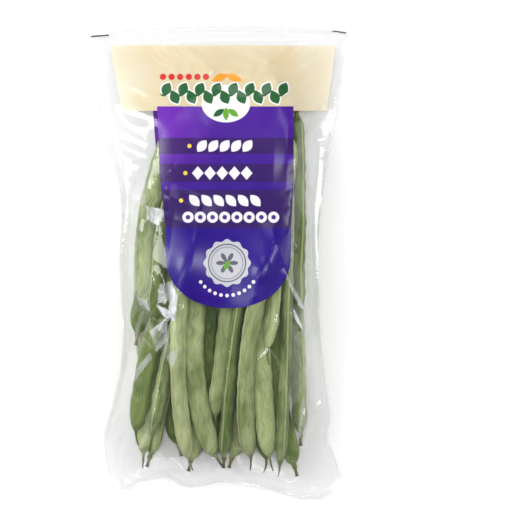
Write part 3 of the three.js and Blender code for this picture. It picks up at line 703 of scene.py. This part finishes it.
def thread_views(sheet):
    """Pairs of views of the sheet that share no point, with how many points lie between the two."""
    rows, columns = sheet.shape[:2]
    views = []
    for reach in (1, 2, 4):
        for start in range(2 * reach):
            views.append(((slice(None), slice(start, columns - reach, 2 * reach)), (0, reach), reach))
            views.append(((slice(start, rows - reach, 2 * reach), slice(None)), (reach, 0), reach))
    for phase in range(2):
        views.append(((slice(phase, rows - 1, 2), slice(0, columns - 1)), (1, 1), 1))
        views.append(((slice(phase, rows - 1, 2), slice(1, columns)), (1, -1), 1))
    return views


def moved_on(place, shift):
    return tuple(
        slice((part.start or 0) + by, None if part.stop is None else part.stop + by, part.step)
        for part, by in zip(place, shift)
    )


def settle(sheet, slack, gap, floor, steps):
    """Lets the sheet out by the slack at each point, and moves it until its threads fit again."""
    threads = []
    for place, shift, reach in thread_views(sheet):
        first, second = sheet[place], sheet[moved_on(place, shift)]
        length = np.linalg.norm(second - first, axis=-1) * (1 + slack[place])
        threads.append((place, moved_on(place, shift), reach, length))
    fixed = sheet.copy()
    sheet += ripples(sheet) * slack[..., None] * WAVE_HEIGHT
    last = sheet.copy()
    for _ in range(steps):
        drift = (sheet - last) * DAMPING
        last = sheet.copy()
        sheet += drift
        sheet[..., 2] -= WEIGHT
        for _ in range(ROUNDS):
            for place, other, reach, length in threads:
                apart = sheet[other] - sheet[place]
                now = np.sqrt((apart**2).sum(-1)) + 1e-9
                firmness = 0.5 if reach == 1 else STIFFNESS * (now < length)
                push = (firmness * (now - length) / now)[..., None] * apart
                sheet[place] += push
                sheet[other] -= push
            push_clear(sheet, gap, floor)
            for rim in (np.s_[0], np.s_[-1], np.s_[:, 0], np.s_[:, -1]):
                sheet[rim] = fixed[rim]
    return sheet


def ripples(sheet):
    """Gentle waves in every direction, to give the folds somewhere to start."""
    waves = np.zeros(sheet.shape)
    for _ in range(WAVES):
        heading, length, phase = draw.uniform(0, np.pi), draw.uniform(14, 40), draw.uniform(0, 6.3)
        along = sheet[..., 0] * np.cos(heading) + sheet[..., 1] * np.sin(heading)
        waves[..., 2] += np.sin(2 * np.pi * along / length + phase) / 4
    return waves


def patch(centre, size, sheet):
    """1 in the middle of an oval patch on plan, fading to 0 outside it."""
    away = ((sheet[..., 0] - centre[0]) / size[0]) ** 2 + ((sheet[..., 1] - centre[1]) / size[1]) ** 2
    return np.exp(-away)


def stiffened(sheet, passes):
    """The sheet's heights, with the small folds out where the violet ink stiffens the film."""
    x, y, height = sheet[..., 0], sheet[..., 1], sheet[..., 2]
    across = smooth_step(x, -58, -40) * (1 - smooth_step(x, 52, 68))
    along = smooth_step(y, -52, -28) * (1 - smooth_step(y, 118, 140))
    flatter = height
    for _ in range(passes):
        padded = np.pad(flatter, 1, mode="edge")
        flatter = (padded[:-2, 1:-1] + padded[2:, 1:-1] + padded[1:-1, :-2] + padded[1:-1, 2:]) / 4
    return height + across * along * (flatter + INK_LIFT - height)


side_share = np.abs(flat_grid[..., 0]) / 80
slack = 0.0003 + 0.012 * np.clip(side_share - 0.6, 0, 1) * np.exp(-((flat_grid[..., 1] / 90) ** 2))
slack += 0.01 * np.clip((-flat_grid[..., 1] - 128) / 40, 0, 1)
for centre, size, extra in (
    ((-56, 38), (16, 14), 0.02),
    ((-48, -18), (12, 16), 0.03),
    ((-42, -46), (10, 14), 0.03),
    ((58, -22), (8, 26), 0.02),
    ((60, -58), (8, 14), 0.02),
    ((-60, 95), (14, 20), 0.01),
    ((66, 90), (12, 24), 0.01),
):
    slack += extra * patch(centre, size, flat_grid)
steps = 120
front = settle(front, slack, 0.9, FRONT_FLOOR, steps)
front[..., 2] = stiffened(front, 25)
back = settle(back, slack * 0.5, BACK_GAP, BACK_FLOOR, steps // 2)
print("film let out by up to", round(100 * slack.max(), 1), "per cent")

# %% [markdown]
# ## Where the camera stands
# The camera looks straight down from a fixed height. Its place is settled here, before the print and the
# folds, because both are laid where the picture shows them: a point of the picture and a height give a
# place in the bag.

# %% The camera's height and what it takes in
CAMERA_HEIGHT = 1300.0
PICTURE = 520  # points across the square picture
SEEN = 383.0  # how much the picture takes in at the height below, in millimetres
SEEN_AT = 30.0
MIDDLE_ACROSS, MIDDLE_DOWN = 217.9, 262.5  # the point of the picture that is right below the camera


def on_photo(across, down, height):
    """Plan place of a point at a height, from where the camera sees it in the picture."""
    per_point = SEEN / PICTURE * (CAMERA_HEIGHT - height) / (CAMERA_HEIGHT - SEEN_AT)
    return (across - MIDDLE_ACROSS) * per_point, (MIDDLE_DOWN - down) * per_point


print("the picture's left edge is at x", round(on_photo(0, 0, 0)[0]), "mm on the table")

# %% [markdown]
# ## Creases
# Stiff film doesn't only wave: it bends along straight lines, with flat facets between them. Each facet
# mirrors one light, which is why wrapped food shows hard-edged white shapes. Those are laid in one by one,
# as long tents with one steep side and one gentle side, after the sheet is made four times finer.


# %% Make a sheet finer and crease it
FOLD_HEIGHT = 35.0  # about how high the film with the creases lies
SPREADS, SPREAD_FALL = 12, 0.12  # a lift is spread this often, and falls this much each time


def doubled(values):
    """One more row between each two rows, on a smooth curve."""
    padded = np.concatenate([2 * values[:1] - values[1:2], values, 2 * values[-1:] - values[-2:-1]])
    made = np.empty((2 * len(values) - 1, *values.shape[1:]))
    made[::2] = values
    made[1::2] = (9 * (values[:-1] + values[1:]) - padded[:-3] - padded[3:]) / 16
    return made


def finer(sheet):
    return doubled(doubled(sheet).swapaxes(0, 1)).swapaxes(0, 1)


def crease(sheet, start, end, rise, left, right):
    """A ridge from start to end as the picture shows them, with the width of its slope on each side."""
    start, end = np.array(on_photo(*start, FOLD_HEIGHT)), np.array(on_photo(*end, FOLD_HEIGHT))
    length = np.linalg.norm(end - start)
    ahead = (end - start) / length
    away = sheet[..., :2] - start
    share = away @ ahead / length
    off = away[..., 1] * ahead[0] - away[..., 0] * ahead[1]
    slope = np.where(off > 0, 1 - off / left, 1 + off / right)
    taper = np.sin(np.pi * np.clip(share, 0, 1)) ** 0.8
    sheet[..., 2] += rise * np.clip(slope, 0, 1) * taper


def clear_of_pods(sheet, gap, faces):
    """Lifts the film off the pods' skin, seen from above (1) or below (-1), and the film round it."""
    lift = np.zeros(sheet.shape[:2])
    for j, i in np.ndindex(lift.shape):
        place = sheet[j, i]
        hit = pod_tree.ray_cast(Vector((*place[:2] * MM, faces * 0.3)), Vector((0, 0, -faces)))[0]
        if hit:
            lift[j, i] = max(0, faces * (hit.z / MM - place[2]) + gap)
    for _ in range(SPREADS):
        padded = np.pad(lift, 1)
        around = np.maximum(padded[:-2, 1:-1], padded[2:, 1:-1])
        around = np.maximum(around, np.maximum(padded[1:-1, :-2], padded[1:-1, 2:]))
        lift = np.maximum(lift, around - SPREAD_FALL)
    sheet[..., 2] += faces * lift


pod_points, pod_faces = [], []
for node in pod_nodes:
    mesh = bpy.data.objects["bean_" + node].data
    pod_faces += [[len(pod_points) + i for i in face.vertices] for face in mesh.polygons]
    pod_points += [v.co.copy() for v in mesh.vertices]
pod_tree = BVHTree.FromPolygons(pod_points, pod_faces)
front, back = finer(front), finer(back)
for start, end, rise, left, right in (
    ((128, 205), (168, 211), 3.6, 9.0, 8.0),
    ((134, 190), (160, 214), 2.4, 8.0, 5.0),
    ((168, 316), (152, 330), 2.6, 5.0, 6.0),
    ((168, 316), (158, 296), 2.6, 5.0, 6.0),
    ((168, 316), (178, 290), 3.0, 6.0, 6.0),
    ((168, 316), (170, 350), 3.0, 6.0, 7.0),
    ((168, 316), (186, 306), 2.2, 4.0, 5.0),
    ((150, 268), (160, 300), 2.6, 7.0, 5.0),
    ((283, 268), (306, 312), 2.6, 6.0, 4.5),
    ((292, 310), (307, 334), 2.2, 5.0, 4.0),
    ((160, 193), (202, 210), 2.2, 10.0, 14.0),
    ((199, 196), (189, 300), 4.2, 30.0, 17.0),
    ((289, 106), (284, 196), 1.8, 7.0, 9.0),
    ((268, 222), (290, 282), 2.0, 12.0, 9.0),
):
    crease(front, start, end, rise, left, right)
clear_of_pods(front, 0.6, 1)
clear_of_pods(back, 0.3, -1)
print("sheets of", front.shape[0] * front.shape[1], "points each")


# %% Where the creased film is white, with painted glints
def within(sheet, corners):
    """True at the sheet's points inside a shape drawn on the picture."""
    corners = np.array([on_photo(*corner, FOLD_HEIGHT) for corner in corners])
    x, y = sheet[..., 0], sheet[..., 1]
    is_in = np.zeros(x.shape, bool)
    for (x0, y0), (x1, y1) in zip(corners, np.roll(corners, -1, axis=0)):
        crosses = (y0 > y) != (y1 > y)
        is_in ^= crosses & (x < (x1 - x0) * (y - y0) / (y1 - y0 + 1e-9) + x0)
    return is_in


whitening_and_painted_glint = np.zeros(front.shape[:2])
# Painted glints with some real stress whitening: white shares on the creases where the lights' reflections
# lie.
for share, corners in (
    (0.72, ((146, 206), (168, 211), (166, 217), (158, 226), (147, 219))),
    (0.22, ((127, 178), (146, 162), (146, 206), (130, 200))),
    (0.4, ((160, 284), (172, 281), (171, 300), (158, 303))),
    (0.75, ((172, 280), (179, 296), (175, 322), (169, 314))),
    (0.8, ((157, 304), (169, 309), (172, 318), (164, 316))),
    (0.6, ((150, 331), (168, 316), (160, 330), (152, 337))),
    (0.4, ((136, 296), (147, 300), (151, 311), (140, 306))),
    (0.3, ((152, 337), (168, 318), (168, 340), (156, 352))),
    (0.35, ((165, 356), (182, 344), (173, 367))),
    (0.85, ((282, 267), (303, 304), (306, 313), (299, 306), (284, 276))),
    (0.85, ((290, 311), (294, 309), (306, 334), (300, 327))),
    (0.5, ((291, 238), (298, 246), (285, 268), (283, 262))),
    (0.3, ((129, 378), (150, 352), (152, 358), (133, 384))),
    (0.35, ((304, 395), (309, 430), (299, 442), (298, 436))),
):
    whitening_and_painted_glint = np.maximum(whitening_and_painted_glint, share * within(front, corners))
print("points in white creases:", int((whitening_and_painted_glint > 0).sum()))

# %% [markdown]
# ## Clear film
# Film this thin is seen mostly by its gloss: light passes straight through it, and a few per cent is
# mirrored, more where it turns away. So the finish is a clear shader and a glossy one, mixed by the
# Fresnel share, with a trace of white haze from the film's scratches and slip dust, which shows most in
# the folds. On the listed creases the haze is much stronger: partly film whitened by creasing, partly
# painted glints.


# %% Film finish
def film_finish():
    finish = Finish("Clear film")
    where = finish.node("ShaderNodeTexCoord", {}, out="Object")
    rim = finish.read("rim")
    ripple = finish.cloud(where, 160.0, 2)
    relief = finish.bump(ripple, 0.0006, 0.25)
    clear = finish.node("ShaderNodeBsdfTransparent", {}, {"Color": (0.998, 0.998, 1, 1)})
    values = {"Color": (1, 1, 1, 1), "Roughness": 0.08, "Normal": relief}
    gloss = finish.node("ShaderNodeBsdfAnisotropic", {}, values)
    haze = finish.node("ShaderNodeBsdfDiffuse", {}, {"Color": (0.86, 0.86, 0.91, 1), "Normal": relief})
    mirror = finish.node("ShaderNodeFresnel", {}, {"IOR": 1.5, "Normal": relief})
    edge = finish.node("ShaderNodeLayerWeight", {}, {"Blend": 0.3, "Normal": relief}, out="Facing")
    weld = rim.falls(4.0, 4.6) * 0.05 + rim.falls(0.3, 1.1) * 0.3
    streaks = finish.cloud(finish.scaled(where, (1.0, 0.3, 1.0)), 130.0, 3)
    # The fold share is painted glint with some stress whitening; the rest is slip haze, the welded rim and
    # the edges.
    white = finish.read("fold") * streaks.rises(0.25, 0.62) + weld + edge**3 * 0.25 + 0.012
    dusty = finish.node("ShaderNodeMixShader", {}, {0: white, 1: clear, 2: haze})
    both = finish.node("ShaderNodeMixShader", {}, {0: mirror.least(0.2), 1: dusty, 2: gloss})
    return finish.show(both)


film = film_finish()
print("film finish ready")


# %% Make the two sheets
def sheet_faces(rows, columns, upward):
    faces = []
    for j in range(rows - 1):
        for i in range(columns - 1):
            a = j * columns + i
            ring = (a, a + 1, a + columns + 1, a + columns)
            faces.append(ring if upward else ring[::-1])
    return faces


def rim_distance(sheet):
    """How far each point is from the bag's edge, along the sheet, in millimetres."""
    rows, columns = sheet.shape[:2]
    across = np.linalg.norm(np.diff(sheet, axis=1), axis=2).cumsum(1)
    along = np.linalg.norm(np.diff(sheet, axis=0), axis=2).cumsum(0)
    from_left = np.concatenate([np.zeros((rows, 1)), across], axis=1)
    from_foot = np.concatenate([np.zeros((1, columns)), along], axis=0)
    sides = [from_left, from_left[:, -1:] - from_left, from_foot, from_foot[-1:] - from_foot]
    return np.minimum.reduce(sides).reshape(-1)


def film_piece(name, sheet, upward, whitening_and_painted_glint):
    faces = sheet_faces(*sheet.shape[:2], upward)
    attributes = {"rim": rim_distance(sheet), "fold": whitening_and_painted_glint.reshape(-1)}
    return new_piece(name, sheet.reshape(-1, 3), faces, film, attributes)


front_piece = film_piece("film_front", front, True, whitening_and_painted_glint)
back_piece = film_piece("film_back", back, False, np.zeros(back.shape[:2]))
for piece in (front_piece, back_piece):
    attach(piece, "root")
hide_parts("film_bag")
print("film faces:", len(front_piece.data.polygons) + len(back_piece.data.polygons))

# %% [markdown]
# ## The print
# The front carries a cream band at the head and a violet panel with a rounded foot. Ink lies in the
# film, so the print has to follow every fold. A fine grid is laid over each printed area as the camera
# sees it, and each of its points is carried along the line of sight onto the film, which keeps the
# outline crisp whatever the folds do.

# %% Lay a printed area on the film
LABEL = 0.72  # millimetres of print to a point of the picture
LABEL_TOP = 106.5  # where the violet panel begins, down the picture
CAMERA = Vector((0, 0, CAMERA_HEIGHT * MM))


def film_tree(sheet):
    points = [Vector(p * MM) for p in sheet.reshape(-1, 3)]
    return BVHTree.FromPolygons(points, sheet_faces(*sheet.shape[:2], True))


def printed_area(name, picture_grid, finish, lift, tree):
    """A piece of print from a grid of picture points, each laid where the camera sees the film there."""
    rows, columns = picture_grid.shape[:2]
    points = np.zeros((rows, columns, 3))
    for j in range(rows):
        for i in range(columns):
            x, y = on_photo(*picture_grid[j, i], 0)
            hit, normal, _, _ = tree.ray_cast(CAMERA, (Vector((x * MM, y * MM, 0)) - CAMERA).normalized())
            if hit is None:
                raise ValueError(f"{name} misses the film at {picture_grid[j, i]}")
            points[j, i] = np.array(hit + normal * math.copysign(lift * MM, normal.z)) / MM
    flat = picture_grid.reshape(-1, 2) - (MIDDLE_ACROSS, 0)
    place = np.stack([flat[:, 0], LABEL_TOP - flat[:, 1], np.zeros(len(flat))], axis=1) * LABEL
    faces = sheet_faces(rows, columns, True)
    piece = new_piece(name, points.reshape(-1, 3), faces, finish, {"label": place})
    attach(piece, "root")


front_tree = film_tree(front)
print("front film ready to print on")


# %% [markdown]
# ## What is printed
# Ink is colour that changes from place to place on the label, so the pattern is drawn with masks: sums
# that are 1 inside a motif and 0 outside it. Every printed point knows its place on the label in
# millimetres, across from the bag's middle and up from the panel's top. A leaf, an oval or a ring is
# then one short sum, and a row of them is the same sum with the distance across wrapped round.


# %% Masks for motifs
def seen_from(x, y, centre, degrees=0.0):
    """A place on the label as a motif sees it, from its middle and turned."""
    cosine, sine = math.cos(math.radians(degrees)), math.sin(math.radians(degrees))
    x, y = x - centre[0], y - centre[1]
    return x * cosine + y * sine, y * cosine - x * sine


def oval(x, y, centre, half_width, half_height):
    x, y = seen_from(x, y, centre)
    away = x * x / half_width**2 + y * y / half_height**2
    soft = 0.5 / min(half_width, half_height)
    return away.falls(1 - soft, 1 + soft)


def leaf(x, y, centre, length, width, degrees):
    x, y = seen_from(x, y, centre, degrees)
    return (abs(y) / (width / 2) + x * x / (length / 2) ** 2).falls(0.9, 1.1)


def diamond(x, y, centre, half_width, half_height):
    x, y = seen_from(x, y, centre)
    return (abs(x) / half_width + abs(y) / half_height).falls(0.92, 1.08)


def in_row(x, first, pitch, count):
    """How far a point is from the nearest motif of a row, and 1 within the row."""
    start = first - pitch / 2
    end = start + pitch * count
    inside = x.rises(start - 0.01, start + 0.01) * x.falls(end - 0.01, end + 0.01)
    return (x - start) % pitch - pitch / 2, inside


WHITE_INK, YELLOW_INK, ORANGE_INK = (0.8, 0.78, 0.86), (0.8, 0.6, 0.05), (0.86, 0.33, 0.02)
LEAF_INK, DARK_LEAF_INK, RED_INK = (0.13, 0.36, 0.03), (0.015, 0.11, 0.03), (0.62, 0.02, 0.02)
BAND_INK, RING_INK = (0.03, 0.008, 0.085), (0.06, 0.02, 0.2)
print("motif helpers ready")


# %% Finish of the violet panel
def label_place(finish):
    """The wire with the place on the label, and its two parts."""
    place = finish.read("label", "Vector")
    return place, *[finish.node("ShaderNodeSeparateXYZ", {}, {0: place}, out=k) for k in (0, 1)]


def emblem(finish, x, y, colour):
    """A white oval with a sprig of three leaves, half on the cream and half on the violet."""
    plate = oval(x, y, (5.8, 2.0), 17.5, 13.5)
    colour = finish.blend(plate, colour, (0.86, 0.86, 0.84))
    for centre, degrees, ink in (
        ((5.8, -5.5), 90, LEAF_INK),
        ((0.6, -4.6), 35, DARK_LEAF_INK),
        ((11.0, -4.6), 145, LEAF_INK),
    ):
        colour = finish.blend(leaf(x, y, centre, 9.5, 4.4, degrees), colour, ink)
    return plate, colour


def bands(finish, x, y, colour):
    """Three darker bands across the panel, with rows of white motifs and a yellow dot to start each."""
    for low, high in ((-34.2, -22.7), (-54.4, -41.4), (-87.5, -60.1)):
        band = y.rises(low - 0.3, low + 0.3) * y.falls(high - 0.3, high + 0.3)
        colour = finish.blend(band * 0.82, colour, BAND_INK)
    for first, pitch, count, motif, sizes, ink in (
        (-11.5, 8.2, 5, leaf, ((0, -28.5), 10.4, 6.6, 52), WHITE_INK),
        (-14.5, 8.8, 5, diamond, ((0, -48), 4.2, 4.9), WHITE_INK),
        (-17, 8.8, 6, leaf, ((0, -67.8), 10.8, 6.4, -48), WHITE_INK),
        (-21.5, 8.8, 8, oval, ((0, -79.8), 4.0, 4.0), WHITE_INK),
        (-21.5, 8.8, 8, oval, ((0, -79.8), 1.7, 1.7), RING_INK),
    ):
        near, inside = in_row(x, first, pitch, count)
        colour = finish.blend(inside * motif(near, y, *sizes), colour, ink)
    for centre in ((-20.5, -28.5), (-23.5, -48), (-26.5, -67.8)):
        colour = finish.blend(oval(x, y, centre, 1.5, 1.5), colour, YELLOW_INK)
    return colour


def rosette(finish, x, y, colour):
    """A pale scalloped disc with two rings and a leaf, over an arc of white dots."""
    x, y = seen_from(x, y, (6.6, -112.7))
    radius = (x * x + y * y) ** 0.5
    angle = y.maths("ARCTAN2", y, x)
    rim = (angle * 12).maths("COSINE", angle * 12) * 0.8 + 16.4
    colour = finish.blend((radius - rim).falls(-0.2, 0.2), colour, (0.52, 0.52, 0.57))
    for ring, ink in ((13.4, (0.1, 0.1, 0.12)), (11.4, (0.3, 0.3, 0.34))):
        colour = finish.blend(abs(radius - ring).falls(0.25, 0.6), colour, ink)
    petals = (angle * 3).maths("COSINE", angle * 3)
    colour = finish.blend((radius - abs(petals) * 7.5).falls(0.2, 0.7), colour, (0.12, 0.12, 0.15))
    colour = finish.blend(leaf(x, y, (0, -1.5), 8, 3.6, 60), colour, LEAF_INK)
    near, inside = in_row(angle, -2.52, 0.19, 11)
    dot = ((near * 23.4) ** 2 + (radius - 23.4) ** 2).falls(1.3, 2.1)
    return finish.blend(inside * dot, colour, WHITE_INK)


def panel_finish(name, has_motifs=True):
    finish = Finish(name)
    place, x, y = label_place(finish)
    # Painted reflection: the violet is lighter towards the upper left, on the side of the left and head
    # boxes.
    painted_reflection = (x.falls(-45, 10) * 0.7 + 0.3) * y.rises(-85, -5)
    colour = finish.blend(painted_reflection, (0.02, 0.004, 0.21), (0.15, 0.022, 0.42))
    uneven = finish.cloud(place, 0.05, 3)
    colour = finish.blend(uneven.rises(0.45, 0.8) * 0.25, colour, (0.09, 0.02, 0.36))
    if has_motifs:
        colour = rosette(finish, x, y, bands(finish, x, y, colour))
        _, colour = emblem(finish, x, y, colour)
    grain = finish.cloud(place, 2.2, 2)
    colour = finish.blend(grain.rises(0.4, 0.9) * 0.06, colour, (0.3, 0.25, 0.45))
    values = {
        "Base Color": colour,
        "Roughness": 0.3 + grain * 0.15,
        "Specular IOR Level": 0.25,
        "Coat Weight": 0.5,
        "Coat Roughness": 0.24,
        "Normal": finish.bump(finish.cloud(place, 0.05, 2), 0.0012, 0.15),
    }
    return finish.show(finish.node("ShaderNodeBsdfPrincipled", {}, values))


print("panel finish ready")


# %% Finish of the cream header
def header_finish():
    finish = Finish("Cream print")
    place, x, y = label_place(finish)
    uneven = finish.cloud(place, 0.045, 3)
    tan = abs(x - 4).falls(38, 84) * 0.75 + uneven.rises(0.35, 0.7) * 0.35
    colour = finish.blend(tan, (0.95, 0.89, 0.7), (0.85, 0.7, 0.43))
    plate, colour = emblem(finish, x, y, colour)
    vine = abs(y - 9.3 - (x * 0.524).maths("SINE", x * 0.524) * 1.6)
    span = x.rises(-42, -41) * x.falls(50, 51)
    solid = plate.most(vine.falls(0.9, 1.3) * span)
    for grow, ink in ((2.2, (0.88, 0.88, 0.85)), (0.0, DARK_LEAF_INK)):
        for first, count, degrees, up in ((-37, 8, 62, 3.2), (-31, 7, 118, -2.8)):
            near, inside = in_row(x, first, 12, count)
            mask = inside * leaf(near, y, (0, 9.3 + up), 10.4 + grow, 7.2 + grow, degrees)
            colour = finish.blend(mask, colour, ink)
            solid = solid.most(mask)
    colour = finish.blend(vine.falls(0.45, 0.8) * span, colour, DARK_LEAF_INK)
    near, inside = in_row(x, -39.5, 6.2, 6)
    fruit = inside * oval(near, y, (0, 21.3), 2.3, 2.3)
    colour = finish.blend(fruit, colour, RED_INK)
    for centre, degrees in (((1.5, 20.8), 22), ((11.5, 20.8), 158)):
        autumn_leaf = leaf(x, y, centre, 12.5, 5.4, degrees)
        colour = finish.blend(autumn_leaf, colour, ORANGE_INK)
        fruit = fruit.most(autumn_leaf)
    grain = finish.cloud(place, 2.2, 2)
    relief = finish.bump(finish.cloud(place, 0.12, 3), 0.0012, 0.3)
    values = {"Base Color": colour, "Roughness": 0.34 + grain * 0.15, "Coat Weight": 0.4, "Normal": relief}
    ink = finish.node("ShaderNodeBsdfPrincipled", {}, values)
    clear = finish.node("ShaderNodeBsdfTransparent", {}, {"Color": (0.97, 0.93, 0.84, 1)})
    share = (uneven * 0.15 + 0.66).most(solid).most(fruit)
    return finish.show(finish.node("ShaderNodeMixShader", {}, {0: share, 1: clear, 2: ink}))


def mark_finish():
    finish = Finish("Dark printing mark")
    grain = finish.cloud(finish.read("label", "Vector"), 1.8, 2)
    colour = finish.blend(grain, (0.03, 0.03, 0.035), (0.12, 0.115, 0.12))
    values = {"Base Color": colour, "Roughness": 0.4 + grain * 0.1}
    return finish.show(finish.node("ShaderNodeBsdfPrincipled", {}, values))


print("header finish ready")


# %% Print the panel, the header and the marks
MARK_THICKNESS = 1.5  # in points of the picture


def header_grid():
    v, u = np.linspace(0, 1, 60)[:, None], np.linspace(0, 1, 150)[None]
    left, right = 122 - 12.4 * v, 327 + 8.4 * v
    down = 110.8 - (66.0 - 1.2 * u) * v
    return np.stack([left + (right - left) * u, down + 0 * u], axis=-1)


def panel_grid(left_side, columns, rows):
    v, u = np.linspace(0, 1, rows)[:, None], np.linspace(0, 1, columns)[None]
    left = np.interp(v, [0, 0.22, 0.55, 1], left_side)
    right = np.interp(v, [0, 0.22, 0.55, 1], [290.5, 291, 293.5, 293.3])
    foot = 258.0 + 50 * np.clip(1 - np.abs(2 * u - 1) ** 2.2, 0, 1) ** 0.5
    down = foot + (LABEL_TOP - foot) * v
    return np.stack([left + (right - left) * u, down + 0 * u], axis=-1)


def mark_grid(start, end):
    u, v = np.linspace(0, 1, 16)[None], np.linspace(-0.5, 0.5, 3)[:, None]
    across = start[0] + (end[0] - start[0]) * u + 0 * v
    down = start[1] + (end[1] - start[1]) * u - MARK_THICKNESS * v
    return np.stack([across, down], axis=-1)


front_panel = panel_grid([166, 165, 160, 157.2], 140, 200)
back_panel = panel_grid([172, 170, 158, 152.5], 90, 120)
dark_mark = mark_finish()
printed_area("print_header", header_grid(), header_finish(), 0.15, front_tree)
printed_area("print_panel", front_panel, panel_finish("Violet print"), 0.3, front_tree)
printed_area("print_back", back_panel, panel_finish("Violet print, back", False), 0.3, film_tree(back))
printed_area("print_mark_left", mark_grid((91, 36.6), (109, 35.2)), dark_mark, 0.2, front_tree)
printed_area("print_mark_right", mark_grid((332.5, 31.0), (346, 33.0)), dark_mark, 0.2, front_tree)
print("printed two panels, the header and two marks")

# %% [markdown]
# ## Table, light and camera
# A white table and a big soft light overhead give the flat, shadowless look of a shop picture. The
# overhead light shows in no gloss, or it would veil the print. The glints come from the other lights: a
# tall box on each side and a wide one past the head, which the slopes of the film and the panel mirror,
# and two narrow strips, which put thin lines along the folds. The whitest shapes on the creases are
# painted glints in the film's haze, and the panel's lighter upper left is a painted reflection.


# %% Table
TABLE_HALF, TABLE_HEIGHT = 2500, -0.9
table_finish = Finish("White table")
white = table_finish.node("ShaderNodeBsdfDiffuse", {}, {"Color": (0.93, 0.93, 0.93, 1)})
corners = [(TABLE_HALF * a, TABLE_HALF * b, TABLE_HEIGHT) for a, b in ((-1, -1), (1, -1), (1, 1), (-1, 1))]
new_piece("table", corners, [(0, 1, 2, 3)], table_finish.show(white))
print("table ready")


# %% Lights
BRIGHT = 0.81
AIM = Vector((0, 0, 20)) * MM
for name, place, size, power in (
    ("left box", (-1150, 480, 930), (480, 1000), 16),
    ("right box", (1250, 150, 1150), (300, 900), 10),
    ("head box", (0, 1300, 1250), (1000, 300), 4),
    ("foot strip", (-640, -160, 1600), (120, 700), 4),
    ("right strip", (560, -40, 1700), (90, 900), 2.5),
    ("overhead", (-50, 100, 1750), (550, 550), 13.5),
):
    light = bpy.data.lights.new(name, "AREA")
    light.shape = "RECTANGLE"
    light.size, light.size_y = size[0] * MM, size[1] * MM
    light.energy = power * BRIGHT
    lamp = bpy.data.objects.new(name, light)
    lamp.location = Vector(place) * MM
    lamp.rotation_euler = (AIM - lamp.location).to_track_quat("-Z", "Y").to_euler()
    lamp.visible_glossy = name != "overhead"
    bpy.context.scene.collection.objects.link(lamp)
world = bpy.data.worlds.new("soft room")
bpy.context.scene.world = world
world.use_nodes = True
background = world.node_tree.nodes["Background"]
background.inputs["Color"].default_value = (1, 1, 1, 1)
background.inputs["Strength"].default_value = 0.24 * BRIGHT
world.cycles_visibility.glossy = False
print("lights ready")

# %% Camera
SENSOR = 36
camera_data = bpy.data.cameras.new("camera")
camera = bpy.data.objects.new("camera", camera_data)
bpy.context.scene.collection.objects.link(camera)
bpy.context.scene.camera = camera
camera.location = CAMERA
camera_data.sensor_width = SENSOR
camera_data.lens = SENSOR * (CAMERA_HEIGHT - SEEN_AT) / SEEN
camera_data.shift_x = (PICTURE / 2 - MIDDLE_ACROSS) / PICTURE
camera_data.shift_y = (MIDDLE_DOWN - PICTURE / 2) / PICTURE
camera_data.clip_start, camera_data.clip_end = 0.01, 20
bpy.context.scene.view_settings.view_transform = "Standard"
print("camera", round(CAMERA_HEIGHT), "mm up, lens", round(camera_data.lens), "mm")
